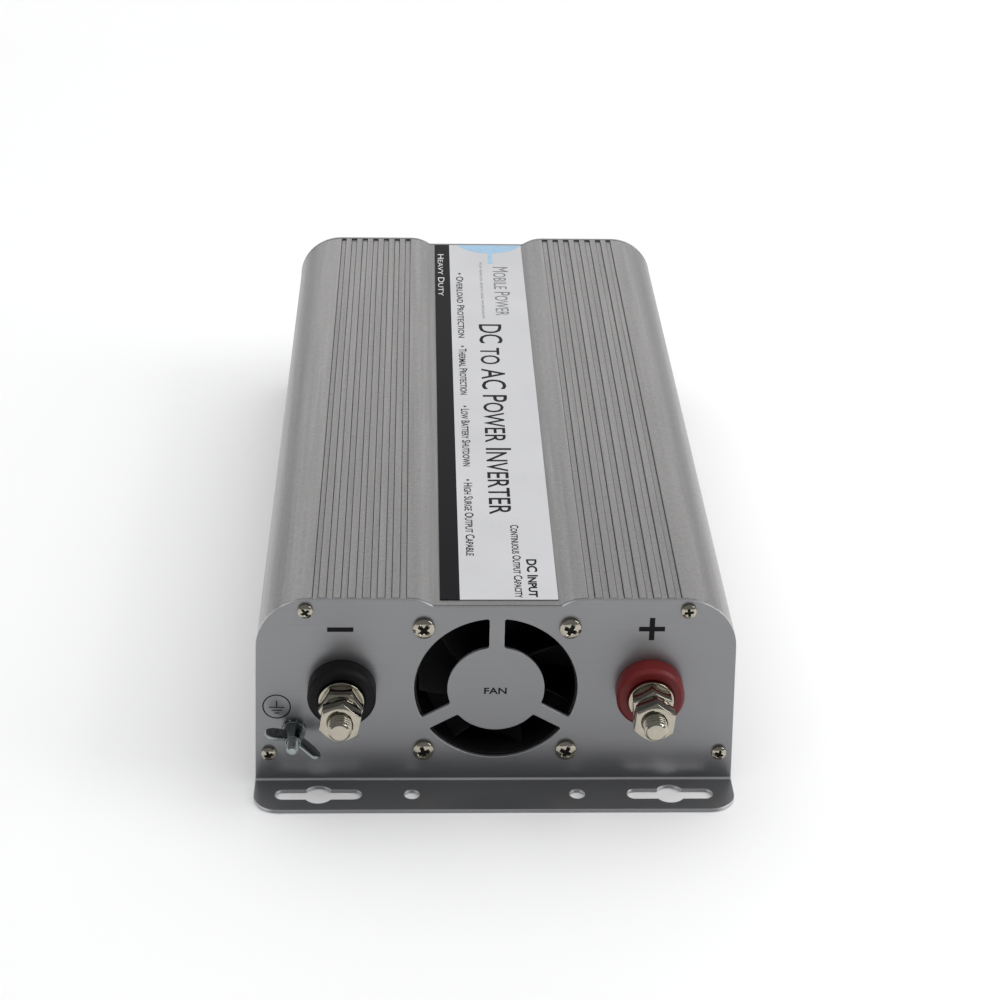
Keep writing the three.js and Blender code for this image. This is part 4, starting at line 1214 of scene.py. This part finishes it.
# ------------------------------------------------------------------ label
def make_label():
    """The label in the sunk strip, its ten lines of words and the mark at its far end."""
    low, high = box_mm("name_label")
    loop = rectangle(low[0], high[0], low[1], high[1], 0.5)
    part = slab(loop, (), high[2] - low[2], 0.06, lambda a, b, t: (a, b, high[2] - t), rim_steps=3)
    new_piece("label_sheet", *part, LABEL, stands_for="name_label", slot="label", even=True)
    top = high[2] + 0.01
    # name, words, where they start and end along the label, their baseline, height, ink and boldness
    lines = [
        ("label_title", "DC to AC Power Inverter", 86.2, -120.9, -1.3, 12.0, INK_BLACK, 0.006),
        ("label_feature_1", "• Overload Protection", 156.0, 69.0, -12.1, 4.0, INK_BLACK, 0.01),
        ("label_feature_2", "• Thermal Protection", 59.0, 1.0, -12.1, 4.0, INK_BLACK, 0.012),
        ("label_feature_3", "• Low Battery Shutdown", -11.4, -75.0, -12.1, 4.0, INK_BLACK, 0.012),
        ("label_feature_4", "• High Surge Output Capable", -87.8, -157.7, -12.1, 4.0, INK_BLACK, 0.012),
        ("label_output", "Continuous Output Capacity", -130.6, -192.6, 7.4, 3.7, INK_BLACK, 0.015),
        ("label_input", "DC Input", -160.7, -192.0, 13.1, 4.5, INK_BLACK, 0.03),
        ("label_band_words", "Heavy Duty", 183.2, 124.0, -21.9, 3.4, INK_WHITE, 0.0),
        ("label_purpose", "Mobile Power", 164.8, 98.0, 8.2, 8.4, INK_GREY, 0.0),
        ("label_small_line", "For vehicles, boats and workshops", 171.0, 94.0, 0.7, 1.8, INK_GREY, 0.0),
    ]
    for name, text, start, end, base, tall, material, bold in lines:
        place = placing((base, start, top), (0, -1, 0), (1, 0, 0))
        lettering(name, text, place, material, start - end, tall, bold)
    sweep = np.linspace(-0.375, 0.375, 40) * np.pi
    dome_x, dome_y, dome_radius = 7.2, 204, 19
    dome = np.stack([dome_x + dome_radius * np.sin(sweep), dome_y - dome_radius * np.cos(sweep)], -1)
    stem = rectangle(dome_x - 1.2, dome_x + 1.2, 170, 184.9)
    above = lambda a, b, t: (a, b, top + LETTER_THICK - t)
    parts = [slab(loop, (), LETTER_THICK, 0.004, above, rim_steps=2) for loop in (dome, stem)]
    new_piece("label_mark", *merge(*parts), INK_BLUE, slot="label")


# ------------------------------------------------------------------ fan
def fan_blade(direction, hub, reach, front, back):
    """A thin curved blade that starts in a direction from the hub.

    Along its span its pitch falls evenly from 50 to 34 degrees. Across its chord c, from -1 to 1, it is
    arched as 1 - c^2, and its thickness falls to the edges as the root of that.
    """
    span, chord = np.meshgrid(np.linspace(0, 1, 14), np.linspace(-1, 1, 22), indexing="ij")
    radius = hub - 0.8 + (reach - hub + 0.8) * span
    pitch = np.radians(50 - 16 * span)
    half = 10.2 + 2.3 * span
    arch = 2.6 * (1 - chord**2)
    thick = 0.25 + 0.6 * np.sqrt(np.clip(1 - chord**2, 0, 1))
    sides = []
    for sign in (1, -1):
        across, depth = chord * half, arch + sign * thick
        around = across * np.cos(pitch) - depth * np.sin(pitch) + 3.5 * span**2
        level = (front + back) / 2 + across * np.sin(pitch) + depth * np.cos(pitch)
        y = np.clip(level, front + 0.4, back - 0.3)
        angle = around / radius + direction
        sides.append(np.stack([radius * np.sin(angle), y, radius * np.cos(angle)], -1))
    points = np.concatenate([side.reshape(-1, 3) for side in sides])
    top = grid_faces(*span.shape)
    index = np.arange(span.size).reshape(span.shape)
    rim = np.concatenate([index[0], index[1:, -1], index[-1, -2::-1], index[-2:0:-1, 0]])
    following = np.roll(rim, -1)
    walls = np.stack([rim, rim + span.size, following + span.size, following], -1)
    return points, np.concatenate([top, top[:, ::-1] + span.size, walls])


def make_fan():
    """The rotor, a hollow hub with seven blades, and the fan's frame and bridge."""
    front, back = depths("fan_rotor")
    hub_out, hub_in, blade_tip, blade_count = 15.4, 13.6, 32.1, 7
    floor = front + 2
    profile = [(0, front), (hub_out, front), (hub_out, back), (hub_in, back), (hub_in, floor), (0, floor)]
    hub = lathe(round_corners(profile, [0, 1.6, 0.2, 0.2, 0.5, 0], 6), 72)
    directions = np.arange(blade_count) * TURN / blade_count + 0.3
    blades = [fan_blade(direction, hub_out, blade_tip, front, back) for direction in directions]
    part = at_end(merge(hub, *blades), on_dc_end, (0, 0, FAN_Z))
    new_piece("fan_impeller", *part, FAN_BLACK, body="fan_rotor", stands_for="fan_rotor", sharp=45)
    refined("fan_frame", "fan_housing", FAN_BLACK, 0.35)
    refined("fan_bridge", "fan_struts", FAN_BLACK, 0.25)


def refined(node, name, material, bevel, body="root"):
    """A CAD node's shape with its doubles merged, its flat faces made whole and its edges rounded."""
    working = bmesh.new()
    working.from_mesh(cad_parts[node].data)
    bmesh.ops.remove_doubles(working, verts=working.verts, dist=2e-6)
    bmesh.ops.dissolve_limit(working, angle_limit=math.radians(1.0), verts=working.verts, edges=working.edges)
    mesh = bpy.data.meshes.new(name)
    working.to_mesh(mesh)
    working.free()
    mesh.materials.clear()
    mesh.materials.append(material)
    mesh.shade_smooth()
    mesh.set_sharp_from_angle(angle=math.radians(36))
    piece = add_object(name, mesh, body, node)
    if bevel:
        rounding = piece.modifiers.new("rounded_edges", "BEVEL")
        rounding.width = bevel * MM
        rounding.segments = 2
        rounding.limit_method = "ANGLE"
        rounding.angle_limit = math.radians(28)
        rounding.harden_normals = True
        rounding.use_clamp_overlap = True


# ------------------------------------------------------------------ AC end fittings
def centred(wide, tall, radius, steps=5):
    """A rectangle with round corners about the middle of a fitting."""
    return rectangle(-wide / 2, wide / 2, -tall / 2, tall / 2, radius, steps)


def fitting(name, parts, node, material=OUTLET_BLACK, slot="black", **more):
    """Parts drawn about a fitting's own middle, made one piece and set in the AC end where its node is."""
    x, _, z = middle_mm(node)
    part = at_end(merge(*parts), on_ac_end, (-x, 0, z))
    new_piece(name, *part, material, slot=slot, **more)


def make_outlet(node, number):
    """An outlet with two blade slots and an earth hole, in a raised face with a soft rim."""
    left = rectangle(-7.45, -5.25, -0.4, 8.8, 0.25)
    right = rectangle(5.25, 7.45, 0.4, 8.0, 0.25)
    earth = np.concatenate([circle(0, -7.7, 2.55, 48)[24:], [(2.55, -6.0), (-2.55, -6.0)]])
    opening = centred(24.6, 30.6, 2.6, 9)
    bezel = slab(centred(29, 35, 4.0, 9), [opening], 2.3, 0.7, standing(-2.4), back_rim=0.1)
    face = slab(centred(24.2, 30.2, 2.4, 9), [left, right, earth], 2.2, 0.4, standing(-2.05), back_rim=0.1)
    body = slab(centred(24.4, 30.4, 2.6), (), 22.0, 0.3, standing(1.4))
    fitting(f"outlet_{number}", [bezel, face, body], node, stands_for=node, even=True)
    starts = [middle + side for middle in (-6.35, 6.35) for side in (-0.75, 0.55)]
    edges = [rectangle(x, x + 0.2, 0.6, 7.6) for x in starts]
    leaves = [slab(edge, (), 1.2, 0.05, standing(0.2), rim_steps=2) for edge in edges]
    fitting(f"outlet_{number}_contacts", leaves, node, COPPER, "copper")


ROCKER_PIVOT_IN, ROCKER_TILT = 1.5, math.radians(10)
ROCKER_REACH, ROCKER_RISE, ROCKER_FALL = 9.3, math.radians(26), math.radians(-22)
ROCKER_END = ROCKER_REACH * math.cos(ROCKER_RISE)


def rocker_face(b):
    """Depth of the dished face at b up the rocker: 2.5 in the middle, and deeper as |b| / end to the 1.5."""
    return -2.5 - (ROCKER_REACH * math.sin(ROCKER_RISE) - 2.5) * (np.abs(b) / ROCKER_END) ** 1.5


def tipped(part):
    """A (points, faces) drawn on the level rocker, tipped about its pins."""
    points, faces = part
    a, y, b = points.T
    c, s = math.cos(ROCKER_TILT), math.sin(ROCKER_TILT)
    return np.stack([a, c * y - s * b + ROCKER_PIVOT_IN, s * y + c * b], -1), faces


def make_switch():
    """The rocker switch: a framed well, and a rocker carried across its width.

    The rocker's outline has two faces dished towards the middle and round ends about its pins.
    """
    node, well_hole = "switch_housing", (13.6, 19.8)
    bezel = slab(centred(20, 26, 1.6, 7), [centred(*well_hole, 0.5)], 2.1, 0.6, standing(-2.2), back_rim=0.1)
    well = slab(centred(16.8, 21.8, 0.2), [centred(*well_hole, 0.3)], 10.0, 0.1, standing(-0.3))
    back = slab(centred(16.8, 21.8, 0.4), (), 9.0, 0.3, standing(9.8))
    fitting("switch_frame", [bezel, well, back], node, stands_for=node, even=True)
    end_angle = np.linspace(ROCKER_RISE, ROCKER_FALL, 10)
    ends = ROCKER_REACH * np.stack([-np.sin(end_angle), np.cos(end_angle)], -1)
    along = np.linspace(-1, 1, 25)[1:-1] * ROCKER_END
    loop = np.concatenate([np.stack([rocker_face(along), along], -1), ends, ends[::-1] * [1, -1]])
    button = slab(loop, (), 12.6, 0.5, lambda a, b, t: (t - 6.3, a, b))
    pins = slab(circle(0, 0, 1.5, 32), (), 15.0, 0.2, lambda a, b, t: (t - 7.5, a, b))
    rocker = tipped(merge(button, pins))
    body = "switch_rocker"
    fitting("rocker_button", [rocker], node, body=body, stands_for=body, even=True, sharp=50)
    on_face = lambda a, b, t: (a, rocker_face(b) + t - 0.045, b)
    bar = slab(rectangle(-0.35, 0.35, 3.6, 6.6), (), 0.05, 0.01, on_face, rim_steps=2)
    ring = slab(circle(0, -5.1, 1.7, 40), [circle(0, -5.1, 1.15, 40)], 0.05, 0.01, on_face, rim_steps=2)
    fitting("rocker_marks", [tipped(merge(bar, ring))], node, INK_WHITE, body=body)


def make_jack():
    """The remote socket: a framed mouth with four contact wires."""
    node = "remote_jack"
    mouth = np.array([(-5.2, -3.8), (5.2, -3.8), (5.2, 3.4), (-5.2, 3.4)])
    flange = slab(centred(17.2, 15.2, 1.0), [mouth], 1.2, 0.3, standing(-1.3), back_rim=0.05)
    body = slab(centred(15, 13, 0.2), [mouth], 11.4, 0.05, standing(-0.4))
    back = slab(centred(15, 13, 0.4), (), 3.9, 0.2, standing(11.1))
    fitting("jack_body", [flange, body, back], node, stands_for=node, even=True)
    sloping = lambda a, b, t: (a, b, 3.1 - 0.28 * b + t)
    edges = [rectangle(x - 0.2, x + 0.2, 0.5, 10.5, 0.1) for x in (np.arange(4) - 1.5) * 1.1]
    wires = [slab(edge, (), 0.35, 0.06, sloping, rim_steps=3) for edge in edges]
    fitting("jack_contacts", wires, node, COPPER, "copper")


def make_lamps():
    """Two lamps, each a domed lens with a collar behind the plate."""
    dome = np.linspace(0, np.pi / 2, 9)
    behind = SHEET + 0.2
    profile = np.concatenate([
        np.stack([2.5 * np.sin(dome), -2.4 * np.cos(dome)], -1),
        [(2.5, behind), (3.0, behind), (3.0, 3.0), (2.5, 3.0), (2.5, 6.0), (0, 6.0)],
    ])
    fitting("green_lamp", [lathe(profile, 40)], "power_led", GREEN_LENS, "green_lens", stands_for="power_led")
    fitting("red_lamp", [lathe(profile, 40)], "fault_led", RED_LENS, "red_lens", stands_for="fault_led")


# ------------------------------------------------------------------ inside
def make_inside():
    """What the case hides keeps its CAD shape, with its edges rounded and its own finish."""
    for material, slot_name, bevel, nodes in (
        (BOARD, "board", 0, ["main_board", "control_board"]),
        (MILL, "aluminium", 0.3, ["heat_sink_left", "heat_sink_right"]),
        (SLEEVE, "sleeve", 0.8, ["output_capacitor"]),
        (COPPER, "copper", 2.0, ["output_choke"]),
        (COPPER, "copper", 0.3, ["neg_bus_bar", "pos_bus_bar"]),
        (COPPER, "copper", 0.2, ["fan_stator"]),
        (SLEEVE, "sleeve", 0.8, [f"input_capacitor_{number}" for number in (1, 2, 3)]),
        (FERRITE, "ferrite", 0.6, [f"transformer_{number}" for number in (1, 2, 3)]),
    ):
        for node in nodes:
            refined(node, f"{node}_made", material, bevel)
    refined("fan_shaft", "fan_spindle", NICKEL, 0.2, body="fan_rotor")


# ------------------------------------------------------------------ stage
CAMERA_PLACE = (-32.5, -977.2, 552.0)
CAMERA_YAW, CAMERA_PITCH, CAMERA_ROLL = -2.393, 28.129, 1.248
FLOOR_REACH, FLOOR_GAP = 12.0, 0.0002


def camera_matrix(place, yaw, pitch, roll):
    """A camera at a place in millimetres: turned left by yaw, down by pitch, and tilted by roll."""
    forward = Vector((-math.sin(yaw) * math.cos(pitch), math.cos(yaw) * math.cos(pitch), -math.sin(pitch)))
    level = Vector((math.cos(yaw), math.sin(yaw), 0))
    upright = level.cross(forward)
    right = math.cos(roll) * level + math.sin(roll) * upright
    upward = -math.sin(roll) * level + math.cos(roll) * upright
    turn = Matrix((right, upward, -forward)).transposed().to_4x4()
    return Matrix.Translation(Vector(place) * MM) @ turn


def add_camera():
    """The camera, 80 mm on a 36 mm sensor."""
    lens_data = bpy.data.cameras.new("camera")
    lens_data.lens = 80.05
    lens_data.sensor_width = 36.0
    lens_data.clip_end = 50
    camera = bpy.data.objects.new("camera", lens_data)
    turns = (math.radians(angle) for angle in (CAMERA_YAW, CAMERA_PITCH, CAMERA_ROLL))
    camera.matrix_world = camera_matrix(CAMERA_PLACE, *turns)
    bpy.context.collection.objects.link(camera)
    bpy.context.scene.camera = camera


def add_softbox(name, place, aim, width, height, power, reflected=True):
    """A large area light, aimed at a point, that metal may or may not reflect; places in metres."""
    data = bpy.data.lights.new(name, "AREA")
    data.shape = "RECTANGLE"
    data.size, data.size_y = width, height
    data.energy = power
    light = bpy.data.objects.new(name, data)
    light.location = place
    light.visible_glossy = reflected
    light.rotation_mode = "QUATERNION"
    light.rotation_quaternion = (Vector(aim) - Vector(place)).to_track_quat("-Z", "Y")
    bpy.context.collection.objects.link(light)


def add_floor():
    """A wide pale floor, a shade off white."""
    pale = (0.9, 0.9, 0.9)
    made = Finish("floor_paper", pale, 0.0, 0.6)
    _, patch = made.grain(300.0, 1.5)
    made.feed("Base Color", made.blend(patch, 1.0, pale, (0.88, 0.88, 0.88)))
    corners = FLOOR_REACH * np.array([(-1, -1, 0), (1, -1, 0), (1, 1, 0), (-1, 1, 0)])
    mesh = bpy.data.meshes.new("floor")
    mesh.from_pydata(corners.tolist(), [], [(0, 1, 2, 3)])
    mesh.materials.append(made.material)
    floor = bpy.data.objects.new("floor", mesh)
    floor.location.z = -FLOOR_GAP
    bpy.context.collection.objects.link(floor)


def add_world():
    """A faint even light from all round, and plain colours."""
    world = bpy.data.worlds.new("studio")
    world.use_nodes = True
    background = world.node_tree.nodes["Background"].inputs
    background["Color"].default_value = (0.96, 0.97, 1.0, 1)
    background["Strength"].default_value = 0.24
    bpy.context.scene.world = world
    bpy.context.scene.view_settings.view_transform = "Standard"


def make_stage():
    """Camera, floor, even light, and three softboxes: over the object, behind it and to its right."""
    add_camera()
    add_floor()
    add_world()
    add_softbox("ceiling_softbox", (0, 0.6, 3.2), (0, 0.6, 0), 7.0, 7.0, 195, reflected=False)
    add_softbox("back_softbox", (0, 3.2, 1.3), (0, 0, 0.1), 4.5, 1.4, 17)
    add_softbox("key_softbox", (1.5, -0.3, 1.1), (0, 0, 0.05), 0.9, 1.0, 11)


make_stage()
make_case()
make_base()
make_plates()
make_screws()
add_cable_stud("neg", -1, BLACK, "black", (30, 10))
add_cable_stud("pos", 1, RED, "red", (-2, 5))
make_earth_stud()
make_marks()
fan_words = placing((-4.9, DC_FACE - 0.01, 44.6), (1, 0, 0), (0, 0, 1))
lettering("fan_mark", "FAN", fan_words, INK_BLACK, 9.4, 3.1, 0.02)
make_label()
make_fan()
for number, node in enumerate(OUTLETS, 1):
    make_outlet(node, number)
make_switch()
make_jack()
make_lamps()
make_inside()
